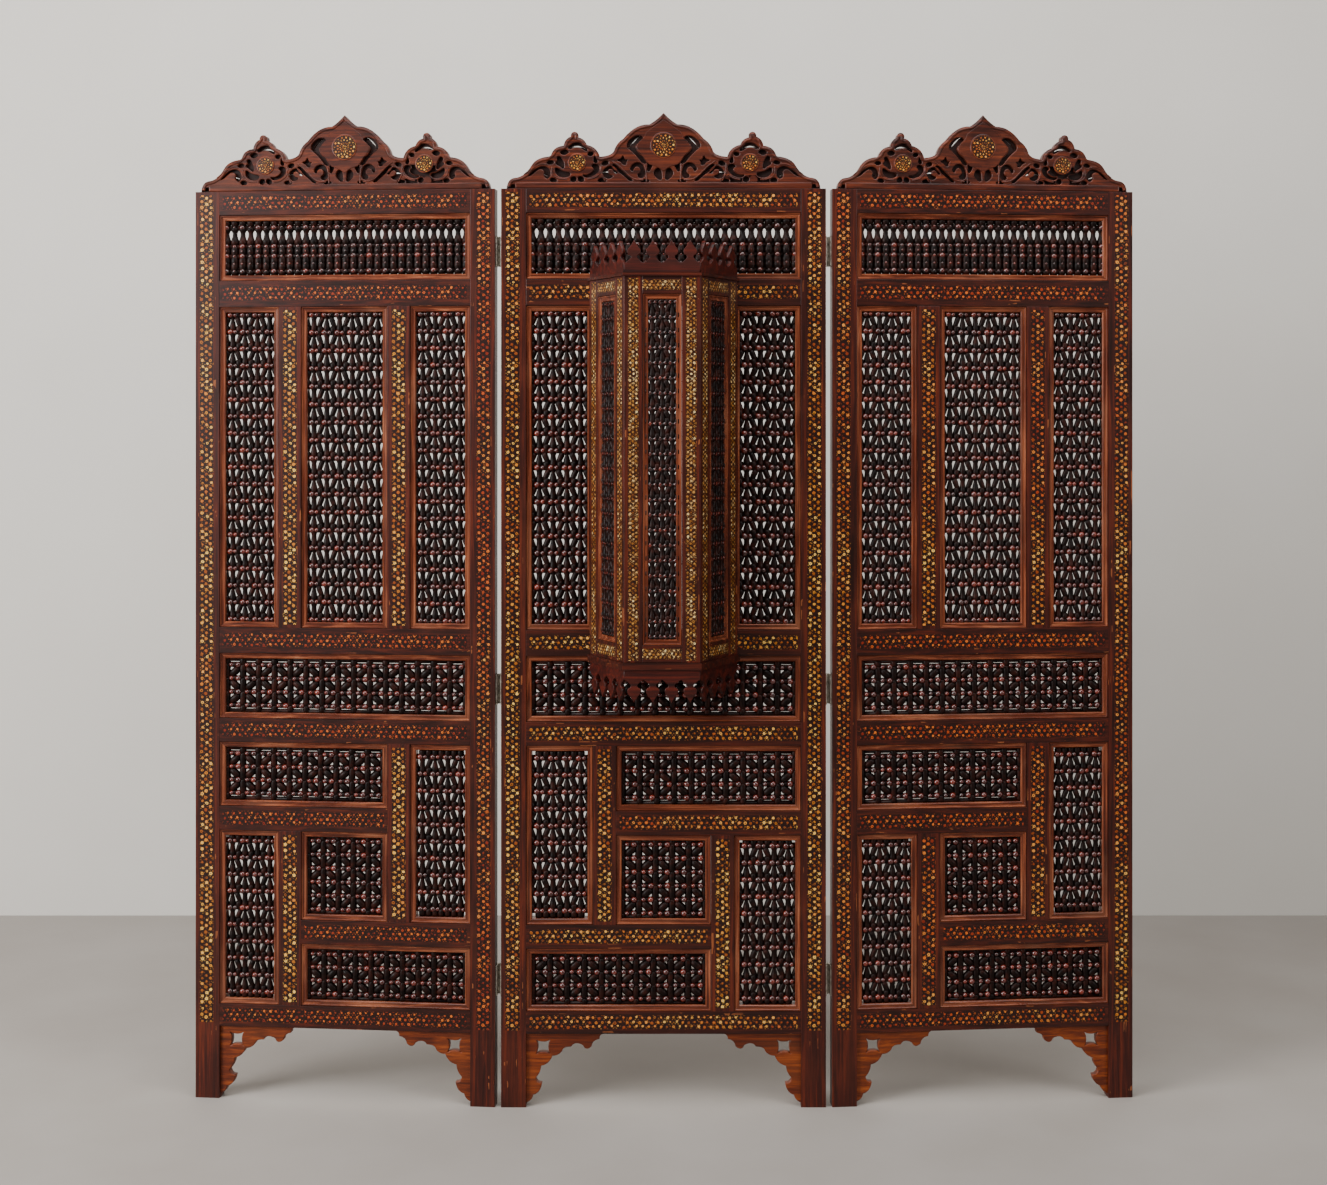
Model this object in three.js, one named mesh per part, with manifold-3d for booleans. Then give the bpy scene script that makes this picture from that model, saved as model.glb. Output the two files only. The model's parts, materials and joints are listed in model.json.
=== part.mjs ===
// A three-wing mashrabiya floor screen: inlaid frames filled with turned-spindle lattice panels,
// pierced crests on top, bracket boards between the legs, and a half-hexagonal bay on the centre wing.
// Millimetres, +Z up, the front facing -Y. The origin is on the floor, in the middle of the footprint.
import * as THREE from "three";
import { mergeVertices } from "three/addons/utils/BufferGeometryUtils.js";
import Module from "manifold-3d";

const wasm = await Module();
wasm.setup();

// Clearances
const glue_gap = 0.3;
const hinge_knuckle_gap = 0.5;
const pin_clearance = 0.35;

// Wings
const centre_wing_width = 650;
const side_wing_width = 616;
const wing_gap = 10;
const wing_turn_deg = 5;
const frame_thickness = 28;
const stile_width = 50;
const bar_width = 46;
const leg_height = 147;

// Openings in a wing, as heights of the holes in its frame, from the floor up
const bottom_rail_width = 45;
const bottom_row_height = 125;
const lower_bar_width = 48;
const small_light_height = 179;
const middle_bar_width = 49;
const top_row_height = 130;
const waist_rail_width = 48;
const waist_height = 132;
const sill_rail_width = 52;
const upper_height = 649;
const frieze_rail_width = 53;
const frieze_height = 133;
const top_rail_width = 48;
const centre_side_light_width = 134;
const side_side_light_width = 123;

// Lattice panels: a moulding ring that carries upright turned spindles
const moulding_width = 11;
const moulding_depth = 22;
const moulding_setback = 3;
const bay_moulding_depth = 12;
const bay_moulding_setback = 2;
const spindle_width = 8;
const spindle_depth = 8;
const spindle_tenon = 3;
const upright_pitch = 28;
const wide_pitch = 36;

// Crests
const crest_inset = 12;
const crest_height = 152;
const crest_thickness = 22;
const crest_base = 13;
const crest_base_share = 0.955;
const crest_bead_radius = 6.5;
const crest_segments = 3;
const piercing_segments = 3;
const crest_relief = 1.5;
const crest_hollow_depth = 10;
const large_rosette_radius = 28;
const large_rosette_sides = 12;
const large_rosette_rise = 0.57;
const small_rosette_radius = 16.5;
const small_rosette_sides = 8;
const small_rosette_out = 0.553;
const small_rosette_rise = 0.342;

// Bracket boards under the bottom rail
const bracket_length = 156;
const bracket_drop = 138;
const bracket_thickness = 16;
const bracket_segments = 2;

// Bay: half a regular hexagon in plan
const bay_side = 148;
const bay_bottom = 906;
const bay_height = 747;
const bay_wall = 14;
const bay_stile_width = 36;
const bay_rail_width = 34;
const bay_roof_thickness = 6;
const bay_floor_thickness = 14;
const bay_overhang = 4;
const bay_pitch = 20;
const cresting_height = 62;
const cresting_thickness = 8;
const merlon_count = 4;

// Hinges
const leaf_height = 60;
const leaf_thickness = 2;
const leaf_depth = 20;
const knuckle_radius = 4.4;
const pin_radius = 2;
const upper_hinge_height = 1714;
const lower_hinge_height = 250;
const hinge_axis_setout = 1;
const hinge_sides = 8;
const pin_end_setback = 1;

// Heights that follow from the driving dimensions
const bottom_row_low = leg_height + bottom_rail_width;
const lower_bar_low = bottom_row_low + bottom_row_height;
const small_light_low = lower_bar_low + lower_bar_width;
const middle_bar_low = small_light_low + small_light_height;
const top_row_low = middle_bar_low + middle_bar_width;
const waist_rail_low = top_row_low + top_row_height;
const waist_low = waist_rail_low + waist_rail_width;
const sill_rail_low = waist_low + waist_height;
const upper_low = sill_rail_low + sill_rail_width;
const frieze_rail_low = upper_low + upper_height;
const frieze_low = frieze_rail_low + frieze_rail_width;
const top_rail_low = frieze_low + frieze_height;
const wing_height = top_rail_low + top_rail_width;
const bay_depth = bay_side * Math.sin(Math.PI / 3);
const bay_top = bay_bottom + bay_height;
const window_width = bay_side - 2 * bay_stile_width;
const window_height = bay_height - 2 * bay_rail_width;
const frame_front = -frame_thickness / 2;

const finishes = {
  frame: { color: 0x5a2414, roughness: 0.34, metalness: 0 },
  lattice: { color: 0x3a130c, roughness: 0.25, metalness: 0 },
  carving: { color: 0x6b2f18, roughness: 0.4, metalness: 0 },
  bay: { color: 0x7a451c, roughness: 0.36, metalness: 0 },
  steel: { color: 0x9a948c, roughness: 0.35, metalness: 0.9 },
};

// A closed three.js geometry as a solid that can be joined and cut
function solid(geometry) {
  const bare = geometry.clone();
  bare.deleteAttribute("normal");
  bare.deleteAttribute("uv");
  const merged = mergeVertices(bare, 1e-4);
  return new wasm.Manifold(
    new wasm.Mesh({
      numProp: 3,
      vertProperties: new Float32Array(merged.attributes.position.array),
      triVerts: new Uint32Array(merged.index.array),
    }),
  );
}

// The vertices and triangles of a solid as a three.js geometry
function geometryOf(made) {
  const mesh = made.getMesh();
  const geometry = new THREE.BufferGeometry();
  geometry.setAttribute("position", new THREE.BufferAttribute(new Float32Array(mesh.vertProperties), 3));
  geometry.setIndex(new THREE.BufferAttribute(new Uint32Array(mesh.triVerts), 1));
  geometry.computeVertexNormals();
  return geometry;
}

function named(name, geometry, finish) {
  const mesh = new THREE.Mesh(geometry, new THREE.MeshStandardMaterial(finishes[finish]));
  mesh.name = name;
  return mesh;
}

function box(width, depth, height, x, y, z) {
  return new THREE.BoxGeometry(width, depth, height).translate(x, y, z);
}

// A board drawn in X and Z, cut from stock of the given thickness, its front face at y = front
function board(shape, thickness, front, curve_segments) {
  const geometry = new THREE.ExtrudeGeometry(shape, {
    depth: thickness,
    bevelEnabled: false,
    curveSegments: curve_segments,
  });
  geometry.rotateX(Math.PI / 2);
  geometry.translate(0, front + thickness, 0);
  return geometry;
}

// A solid block between two heights and two sides, its front face at y = front
function block(low_x, low_z, high_x, high_z, thickness, front) {
  const x = (low_x + high_x) / 2;
  const z = (low_z + high_z) / 2;
  return solid(box(high_x - low_x, thickness, high_z - low_z, x, front + thickness / 2, z));
}

// A solid with other solids cut out of it
function cutOut(whole, holes) {
  return holes.reduce((made, hole) => made.subtract(hole), whole);
}

// The holes of a wing's frame, each with the pitch of the spindles in its lattice panel.
// Positive hand puts the tall panel of the lower field on the right, negative on the left.
function lightsOf(width, side_light, hand) {
  const inner = width / 2 - stile_width;
  const bar_outer = inner - side_light;
  const bar_inner = bar_outer - bar_width;
  const light = (name, low_x, high_x, low_z, high_z, pitch) => {
    const xs = [hand * low_x, hand * high_x].sort((a, b) => a - b);
    return { name, low_x: xs[0], high_x: xs[1], low_z, high_z, pitch };
  };
  const upper = (name, low_x, high_x) => ({
    name,
    low_x,
    high_x,
    low_z: upper_low,
    high_z: frieze_rail_low,
    pitch: upright_pitch,
  });
  return [
    light("frieze_lattice", -inner, inner, frieze_low, top_rail_low, wide_pitch),
    upper("upper_left_lattice", -inner, -bar_outer),
    upper("upper_middle_lattice", -bar_inner, bar_inner),
    upper("upper_right_lattice", bar_outer, inner),
    light("waist_lattice", -inner, inner, waist_low, sill_rail_low, wide_pitch),
    light("lower_top_lattice", -inner, bar_inner, top_row_low, waist_rail_low, wide_pitch),
    light("lower_tall_lattice", bar_outer, inner, small_light_low, waist_rail_low, upright_pitch),
    light("lower_middle_lattice", -bar_inner, bar_inner, small_light_low, middle_bar_low, upright_pitch),
    light("lower_short_lattice", -inner, -bar_outer, bottom_row_low, middle_bar_low, upright_pitch),
    light("lower_bottom_lattice", -bar_inner, inner, bottom_row_low, lower_bar_low, wide_pitch),
  ];
}

// Stiles, rails and bars of one wing, mortised and glued into one frame
function wingFrame(width, lights) {
  const half = width / 2;
  const inner = half - stile_width;
  const through = 3 * frame_thickness;
  const hole = (low_x, low_z, high_x, high_z) => block(low_x, low_z, high_x, high_z, through, -through / 2);
  const slab = block(-half, 0, half, wing_height, frame_thickness, frame_front);
  const holes = lights.map((l) => hole(l.low_x, l.low_z, l.high_x, l.high_z));
  holes.push(hole(-inner, -leg_height, inner, leg_height));
  return geometryOf(cutOut(slab, holes));
}

// A moulding ring with upright spindles across its light, centred on x = 0 and standing on z = 0
function latticePanel(width, height, pitch, front, depth) {
  const light_width = width - 2 * moulding_width;
  const rim = block(-width / 2, 0, width / 2, height, depth, front);
  const light = block(
    -light_width / 2,
    moulding_width,
    light_width / 2,
    height - moulding_width,
    3 * depth,
    front - depth,
  );
  let made = rim.subtract(light);
  const count = Math.max(1, Math.round(light_width / pitch));
  const spindle_y = front + depth / 2;
  const spindle_length = height - 2 * moulding_width + 2 * spindle_tenon;
  for (let i = 0; i < count; i++) {
    const x = ((i + 0.5) / count - 0.5) * light_width;
    made = made.add(solid(box(spindle_width, spindle_depth, spindle_length, x, spindle_y, height / 2)));
  }
  return geometryOf(made);
}

// A lobe is a curve from the last point to (x, z), pulled towards its control point
function lobe(path, control_x, control_z, x, z) {
  path.quadraticCurveTo(control_x, control_z, x, z);
}

// The edge of a crest's right half, as [control x, control z, x, z] in shares of its half width and
// height: an ogee peak in the middle, a lower peak that carries a bud, and a scrolled end
const crest_peak = [0, 1];
const crest_before_bud = [
  [0.045, 0.9, 0.089, 0.851],
  [0.178, 0.862, 0.255, 0.66],
  [0.3, 0.6, 0.314, 0.495],
  [0.335, 0.425, 0.411, 0.418],
  [0.425, 0.55, 0.494, 0.58],
  [0.51, 0.668, 0.55, 0.678],
];
const crest_after_bud = [
  [0.628, 0.668, 0.636, 0.566],
  [0.705, 0.56, 0.719, 0.424],
  [0.81, 0.415, 0.84, 0.309],
  [0.885, 0.145, 0.955, 0.135],
  [0.995, 0.12, 1, 0],
];
const crest_bud_foot = [0.588, 0.678];
const crest_bud_out = 0.569;
const crest_bud_rise = 0.678;
const crest_bud_lift = 0.7;
const crest_bud_lean = 0.4;

function crestOutline(half, height) {
  const outline = new THREE.Shape();
  const bud = (side) =>
    outline.absarc(
      side * crest_bud_out * half,
      crest_bud_rise * height + crest_bud_lift * crest_bead_radius,
      crest_bead_radius,
      Math.PI + crest_bud_lean,
      -crest_bud_lean,
      true,
    );
  const climb = (lobes, start) => {
    const ends = [start, ...lobes.map((row) => row.slice(2))];
    for (let i = lobes.length - 1; i >= 0; i--) {
      const [cx, cz] = lobes[i];
      lobe(outline, -cx * half, cz * height, -ends[i][0] * half, ends[i][1] * height);
    }
  };
  const [last_x, last_z] = crest_before_bud[crest_before_bud.length - 1].slice(2);
  outline.moveTo(0, height);
  for (const [cx, cz, x, z] of crest_before_bud) lobe(outline, cx * half, cz * height, x * half, z * height);
  bud(1);
  for (const [cx, cz, x, z] of crest_after_bud) lobe(outline, cx * half, cz * height, x * half, z * height);
  outline.lineTo(-half, 0);
  climb(crest_after_bud, crest_bud_foot);
  bud(-1);
  outline.lineTo(-last_x * half, last_z * height);
  climb(crest_before_bud, crest_peak);
  return outline;
}

// A leaf-shaped outline from one point to another, bowed to one side by bend and wide by width
function leafHole(x0, z0, x1, z1, width, bend) {
  const length = Math.hypot(x1 - x0, z1 - z0);
  const nx = -(z1 - z0) / length;
  const nz = (x1 - x0) / length;
  const mx = (x0 + x1) / 2;
  const mz = (z0 + z1) / 2;
  const hole = new THREE.Shape();
  hole.moveTo(x0, z0);
  hole.quadraticCurveTo(mx + nx * (bend + width), mz + nz * (bend + width), x1, z1);
  hole.quadraticCurveTo(mx + nx * (bend - width), mz + nz * (bend - width), x0, z0);
  return hole;
}

// Leaves sawn right through one half of a crest, and leaves hollowed out of its front.
// Each row is [x0, z0, x1, z1, width, bend], its places as shares of the half width and the height.
const crest_piercings = [
  [0.14, 0.72, 0.225, 0.54, 4, 4],
  [0.28, 0.17, 0.4, 0.21, 6, 12],
  [0.5, 0.53, 0.61, 0.53, 5, 11],
  [0.74, 0.17, 0.86, 0.15, 5, 12],
];
const crest_hollows = [
  [0.225, 0.5, 0.145, 0.36, 5, -2],
  [0.065, 0.33, 0.13, 0.15, 5, 3],
  [0.15, 0.2, 0.235, 0.35, 6, 7],
  [0.46, 0.17, 0.49, 0.42, 5, 5],
  [0.67, 0.17, 0.635, 0.42, 5, -5],
];

function crest(width) {
  const half = width / 2;
  const front = -crest_thickness / 2;
  const whole = solid(board(crestOutline(half, crest_height), crest_thickness, front, crest_segments));
  const leaves = (rows, thickness, y) =>
    [1, -1].flatMap((side) =>
      rows.map(([x0, z0, x1, z1, leaf_width, bend]) => {
        const ends = [side * x0 * half, z0 * crest_height, side * x1 * half, z1 * crest_height];
        return solid(board(leafHole(...ends, leaf_width, side * bend), thickness, y, piercing_segments));
      }),
    );
  const pierced = cutOut(whole, [
    ...leaves(crest_piercings, 3 * crest_thickness, 3 * front),
    ...leaves(crest_hollows, 2 * crest_hollow_depth, front - crest_hollow_depth),
  ]);
  const depth = crest_thickness / 2 + crest_relief;
  const strip_half = crest_base_share * half;
  const strip = block(-strip_half, 0, strip_half, crest_base, depth, -depth);
  const rosette = (radius, sides, share_x, share_z) =>
    solid(
      new THREE.CylinderGeometry(radius, radius, depth, sides)
        .rotateY(Math.PI / sides)
        .translate(share_x * half, -depth / 2, share_z * crest_height),
    );
  return geometryOf(
    pierced
      .add(strip)
      .add(rosette(large_rosette_radius, large_rosette_sides, 0, large_rosette_rise))
      .add(rosette(small_rosette_radius, small_rosette_sides, -small_rosette_out, small_rosette_rise))
      .add(rosette(small_rosette_radius, small_rosette_sides, small_rosette_out, small_rosette_rise)),
  );
}

// A bracket board: its square corner at the origin, reaching along +X and down, with a scalloped edge.
// Each row is [control x, control z, x, z] as shares of the length and the drop.
const bracket_edge = [
  [0.93, 0.01, 0.93, 0.08],
  [0.84, 0.1, 0.83, 0.19],
  [0.76, 0.26, 0.73, 0.17],
  [0.62, 0.1, 0.57, 0.19],
  [0.46, 0.19, 0.45, 0.26],
  [0.4, 0.33, 0.33, 0.32],
  [0.29, 0.45, 0.18, 0.47],
  [0.18, 0.57, 0.11, 0.65],
  [0.12, 0.74, 0.19, 0.74],
  [0.17, 0.87, 0.08, 0.89],
  [0.07, 0.97, 0, 1],
];

// The four-pointed star sawn through a bracket: its place, its reach and its waist, as shares
const star_out = 0.215;
const star_fall = 0.2;
const star_reach = 0.095;
const star_waist = 0.55;

function bracket(side) {
  const outline = new THREE.Shape();
  outline.moveTo(0, 0);
  outline.lineTo(side * bracket_length, 0);
  for (const [cx, cz, x, z] of bracket_edge)
    lobe(outline, side * cx * bracket_length, -cz * bracket_drop, side * x * bracket_length, -z * bracket_drop);
  outline.closePath();
  const star = new THREE.Shape();
  const star_x = side * star_out * bracket_length;
  const star_z = -star_fall * bracket_drop;
  const star_radius = star_reach * bracket_length;
  star.moveTo(star_x + star_radius, star_z + star_radius);
  for (const turn of [1, 2, 3, 4]) {
    const angle = Math.PI / 4 + (turn * Math.PI) / 2;
    const reach = star_radius * Math.SQRT2;
    const waist = angle - Math.PI / 4;
    star.quadraticCurveTo(
      star_x + star_waist * star_radius * Math.cos(waist),
      star_z + star_waist * star_radius * Math.sin(waist),
      star_x + reach * Math.cos(angle),
      star_z + reach * Math.sin(angle),
    );
  }
  const front = -bracket_thickness / 2;
  const whole = solid(board(outline, bracket_thickness, front, bracket_segments));
  return geometryOf(cutOut(whole, [solid(board(star, 3 * bracket_thickness, 3 * front, bracket_segments))]));
}

// A convex outline with every edge moved inwards by the same distance
function inset(points, distance) {
  const lines = points.map((p, i) => {
    const q = points[(i + 1) % points.length];
    const length = Math.hypot(q[0] - p[0], q[1] - p[1]);
    const direction = [(q[0] - p[0]) / length, (q[1] - p[1]) / length];
    const normal = [-direction[1], direction[0]];
    return { at: [p[0] + normal[0] * distance, p[1] + normal[1] * distance], direction };
  });
  return lines.map((b, i) => {
    const a = lines[(i + lines.length - 1) % lines.length];
    const cross = a.direction[0] * b.direction[1] - a.direction[1] * b.direction[0];
    const t =
      ((b.at[0] - a.at[0]) * b.direction[1] - (b.at[1] - a.at[1]) * b.direction[0]) / cross;
    return [a.at[0] + a.direction[0] * t, a.at[1] + a.direction[1] * t];
  });
}

// A plan outline in X and Y raised from z = low to z = high
function raised(points, low, high) {
  const outline = new THREE.Shape(points.map(([x, y]) => new THREE.Vector2(x, y)));
  const geometry = new THREE.ExtrudeGeometry(outline, { depth: high - low, bevelEnabled: false });
  return geometry.translate(0, 0, low);
}

// The plan of one bay wall, mitred against its neighbours. Face 0 is the front, 1 and -1 the sides.
// The wing's front is at y = 0 and the bay reaches to y = -bay_depth.
function wallPlan(face, thickness, outward = 0) {
  const half = bay_side / 2;
  const corner = outward / Math.tan(Math.PI / 3);
  const front = -bay_depth - outward;
  const mitre = thickness / Math.tan(Math.PI / 3);
  if (face === 0)
    return [
      [-half - corner, front],
      [half + corner, front],
      [half + corner - mitre, front + thickness],
      [-half - corner + mitre, front + thickness],
    ];
  const slant = 1 / Math.sin(Math.PI / 3);
  const right = [
    [half + corner, front],
    [bay_side + outward * slant, 0],
    [bay_side + outward * slant - thickness * slant, 0],
    [half + corner - mitre, front + thickness],
  ];
  return face > 0 ? right : right.map(([x, y]) => [-x, y]).reverse();
}

// The turned frame of one bay face: x runs along the face, y = 0 is its outer surface
function faceGroup(face) {
  const group = new THREE.Group();
  const angle = (face * Math.PI) / 3;
  group.rotation.z = angle;
  const middle = face === 0 ? 0 : face * 0.75 * bay_side;
  group.position.set(middle, face === 0 ? -bay_depth : -bay_depth / 2, 0);
  return group;
}

function bayWall(face) {
  const wall = solid(raised(inset(wallPlan(face, bay_wall), glue_gap / 2), glue_gap, bay_height - glue_gap));
  const light = box(window_width, 4 * bay_wall, window_height, 0, 0, bay_height / 2);
  const placed = faceGroup(face);
  placed.updateMatrix();
  return geometryOf(wall.subtract(solid(light.applyMatrix4(placed.matrix))));
}

function halfHexagon(outward) {
  const half = bay_side / 2 + outward / Math.tan(Math.PI / 3);
  const wide = bay_side + outward / Math.sin(Math.PI / 3);
  return [
    [-half, -bay_depth - outward],
    [half, -bay_depth - outward],
    [wide, 0],
    [-wide, 0],
  ];
}

// One merlon: an arrowhead leaf on a waisted stem, as [x, z] shares of half the pitch and the height
const merlon_half = [
  [1, 0.27],
  [0.36, 0.56],
  [0.8, 0.63],
  [0.52, 0.82],
  [0, 1],
];

// A row of merlons along one face, as a board in X and Z standing on z = 0
function merlonBoard(length) {
  const pitch = bay_side / merlon_count;
  const outline = new THREE.Shape();
  outline.moveTo(-length / 2, 0);
  outline.lineTo(length / 2, 0);
  for (let i = merlon_count - 1; i >= 0; i--) {
    const x = (i + 0.5) * pitch - bay_side / 2;
    const point = ([share_x, share_z], side) =>
      outline.lineTo(x + (side * share_x * pitch) / 2, share_z * cresting_height);
    if (i === merlon_count - 1) outline.lineTo(length / 2, merlon_half[0][1] * cresting_height);
    for (const p of merlon_half) point(p, 1);
    for (const p of [...merlon_half].reverse().slice(1)) point(p, -1);
  }
  outline.lineTo(-length / 2, merlon_half[0][1] * cresting_height);
  outline.closePath();
  return outline;
}

// Three merlon boards mitred and glued round the bay's edge; turned upside down they are the skirt
function merlonRing(upside_down) {
  let ring = null;
  for (const face of [-1, 0, 1]) {
    const row = board(merlonBoard(bay_side + 2 * cresting_thickness), 4 * cresting_thickness, -2 * cresting_thickness, 1);
    if (upside_down) row.scale(1, 1, -1);
    const placed = faceGroup(face);
    placed.updateMatrix();
    row.applyMatrix4(placed.matrix);
    const low = upside_down ? -2 * cresting_height : -cresting_height;
    const plan = solid(raised(wallPlan(face, cresting_thickness), low, low + 3 * cresting_height));
    const cut = upside_down ? solidMirrored(row) : solid(row);
    const wall = plan.intersect(cut);
    ring = ring ? ring.add(wall) : wall;
  }
  const clear = solid(box(4 * bay_side, 2 * glue_gap, 8 * cresting_height, 0, 0, 0));
  return geometryOf(ring.subtract(clear));
}

// A geometry that a negative scale has turned inside out, as a solid facing out again
function solidMirrored(geometry) {
  const flat = geometry.clone();
  const p = flat.getAttribute("position");
  for (let i = 0; i < p.count; i += 3) {
    const [x, y, z] = [p.getX(i), p.getY(i), p.getZ(i)];
    p.setXYZ(i, p.getX(i + 1), p.getY(i + 1), p.getZ(i + 1));
    p.setXYZ(i + 1, x, y, z);
  }
  return solid(flat);
}

// Plate and knuckle of one hinge leaf about the axis at x = 0, y = 0. Side -1 lies against a stile on
// the left of the gap. The lower leaf carries the pin, the upper one its bore.
function hingeLeaf(side, lower) {
  const half = leaf_height / 2;
  const plate_x = side * (wing_gap / 2 - glue_gap - leaf_thickness / 2);
  const plate_y = -leaf_depth / 2;
  let made = solid(box(leaf_thickness, leaf_depth, leaf_height, plate_x, plate_y, 0));
  const knuckle_height = half - hinge_knuckle_gap / 2;
  const middle = (lower ? -1 : 1) * (half - knuckle_height / 2);
  const turned = (radius, height, z) =>
    solid(new THREE.CylinderGeometry(radius, radius, height, hinge_sides).rotateX(Math.PI / 2).translate(0, 0, z));
  made = made.add(turned(knuckle_radius, knuckle_height, middle));
  const other = solid(box(3 * knuckle_radius, 3 * knuckle_radius, half + hinge_knuckle_gap / 2,
    0, 0, -Math.sign(middle) * (half / 2 - hinge_knuckle_gap / 4)));
  const reach = knuckle_radius + 2 * hinge_knuckle_gap;
  const keep_clear = other.intersect(turned(reach, 2 * leaf_height, 0));
  made = made.subtract(keep_clear);
  if (lower) made = made.add(turned(pin_radius, leaf_height - 2 * pin_end_setback, 0));
  else made = made.subtract(turned(pin_radius + pin_clearance, 2 * leaf_height, 0));
  return geometryOf(made);
}

// One wing in its own frame: x = 0 in its middle, y = 0 in the middle of its thickness
function wing(side_name, width, side_light, hand, has_bay) {
  const group = new THREE.Group();
  const lights = lightsOf(width, side_light, hand);
  group.add(named(side_name + "_frame", wingFrame(width, lights), "frame"));
  for (const l of lights) {
    if (has_bay && l.name === "upper_middle_lattice") continue;
    const panel_width = l.high_x - l.low_x - 2 * glue_gap;
    const panel_height = l.high_z - l.low_z - 2 * glue_gap;
    const front = frame_front + moulding_setback;
    const panel = named(
      side_name + "_" + l.name,
      latticePanel(panel_width, panel_height, l.pitch, front, moulding_depth),
      "lattice",
    );
    panel.position.set((l.low_x + l.high_x) / 2, 0, l.low_z + glue_gap);
    group.add(panel);
  }
  const top = named(side_name + "_crest", crest(width - 2 * crest_inset), "carving");
  top.position.z = wing_height + glue_gap;
  group.add(top);
  for (const side of [-1, 1]) {
    const word = side < 0 ? "left" : "right";
    const shaped = named(side_name + "_" + word + "_bracket", bracket(-side), "carving");
    shaped.position.set(side * (width / 2 - stile_width - glue_gap), 0, leg_height - glue_gap);
    group.add(shaped);
  }
  return group;
}

function bay() {
  const group = new THREE.Group();
  const words = { "-1": "left", 0: "front", 1: "right" };
  for (const face of [0, -1, 1]) {
    const word = words[face];
    const wall = named("bay_" + word + "_frame", bayWall(face), "bay");
    wall.position.z = bay_bottom;
    group.add(wall);
    const turned = faceGroup(face);
    const panel_width = window_width - 2 * glue_gap;
    const panel_height = window_height - 2 * glue_gap;
    const lattice = named(
      "bay_" + word + "_lattice",
      latticePanel(panel_width, panel_height, bay_pitch, bay_moulding_setback, bay_moulding_depth),
      "lattice",
    );
    lattice.position.z = bay_bottom + bay_rail_width + glue_gap;
    turned.add(lattice);
    group.add(turned);
  }
  const backed = (outward) => inset(halfHexagon(outward), glue_gap);
  const roof_low = bay_top;
  group.add(named("bay_roof", raised(backed(bay_overhang), roof_low, roof_low + bay_roof_thickness), "bay"));
  group.add(named("bay_floor", raised(backed(bay_overhang), bay_bottom - bay_floor_thickness, bay_bottom), "bay"));
  const cresting = named("bay_cresting", merlonRing(false), "carving");
  cresting.position.z = roof_low + bay_roof_thickness + glue_gap;
  group.add(cresting);
  const skirt = named("bay_skirt", merlonRing(true), "carving");
  skirt.position.z = bay_bottom - bay_floor_thickness - glue_gap;
  group.add(skirt);
  group.position.y = frame_front - glue_gap;
  return group;
}

// The hinge axis of one side, in the centre wing's frame
const hinge_x = centre_wing_width / 2 + wing_gap / 2;
const hinge_y = frame_thickness / 2 + hinge_axis_setout;

const screen = new THREE.Group();
screen.add(wing("centre_wing", centre_wing_width, centre_side_light_width, -1, true));
screen.add(bay());
for (const side of [-1, 1]) {
  const word = side < 0 ? "left" : "right";
  const wing_name = word + "_wing";
  const turned = new THREE.Group();
  turned.position.set(side * hinge_x, hinge_y, 0);
  turned.rotation.z = (side * wing_turn_deg * Math.PI) / 180;
  const leaf = wing(wing_name, side_wing_width, side_side_light_width, 1, false);
  leaf.position.set(side * (wing_gap / 2 + side_wing_width / 2), -hinge_y, 0);
  turned.add(leaf);
  const heights = { upper: upper_hinge_height, lower: lower_hinge_height };
  for (const [level, height] of Object.entries(heights)) {
    const moving = named(word + "_" + level + "_hinge_moving_leaf", hingeLeaf(side, false), "steel");
    moving.position.z = height;
    turned.add(moving);
    const fixed = named(word + "_" + level + "_hinge_fixed_leaf", hingeLeaf(-side, true), "steel");
    fixed.position.set(side * hinge_x, hinge_y, height);
    screen.add(fixed);
  }
  screen.add(turned);
}

// The footprint's middle is the origin
const extent = new THREE.Box3().setFromObject(screen);
screen.position.y = -(extent.min.y + extent.max.y) / 2;

export default screen;
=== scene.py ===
"""A three-wing mashrabiya floor screen, dressed over its CAD model.

Each wing is built in its own coordinates: x runs along it from its middle, y is across it with the
front at negative y, and z is up from the floor. It is then turned into place about its hinge.
"""

import json
import math

import bpy
from mathutils import Matrix, Vector


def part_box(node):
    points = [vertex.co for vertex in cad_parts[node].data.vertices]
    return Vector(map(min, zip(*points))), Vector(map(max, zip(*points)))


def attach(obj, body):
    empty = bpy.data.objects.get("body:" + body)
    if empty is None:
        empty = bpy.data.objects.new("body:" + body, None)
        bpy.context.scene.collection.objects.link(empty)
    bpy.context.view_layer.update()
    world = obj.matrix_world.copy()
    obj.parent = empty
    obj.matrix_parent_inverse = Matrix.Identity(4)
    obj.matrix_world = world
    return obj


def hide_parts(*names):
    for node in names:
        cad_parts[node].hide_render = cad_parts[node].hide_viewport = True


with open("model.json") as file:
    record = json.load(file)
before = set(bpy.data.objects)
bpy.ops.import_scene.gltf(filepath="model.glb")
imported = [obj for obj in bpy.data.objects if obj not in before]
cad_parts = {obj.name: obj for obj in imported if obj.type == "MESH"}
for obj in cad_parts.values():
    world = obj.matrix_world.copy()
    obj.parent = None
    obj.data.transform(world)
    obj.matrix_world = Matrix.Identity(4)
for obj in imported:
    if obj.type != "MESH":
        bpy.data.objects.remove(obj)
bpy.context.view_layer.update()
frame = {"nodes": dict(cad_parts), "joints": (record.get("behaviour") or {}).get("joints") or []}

MM = 0.001

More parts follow.
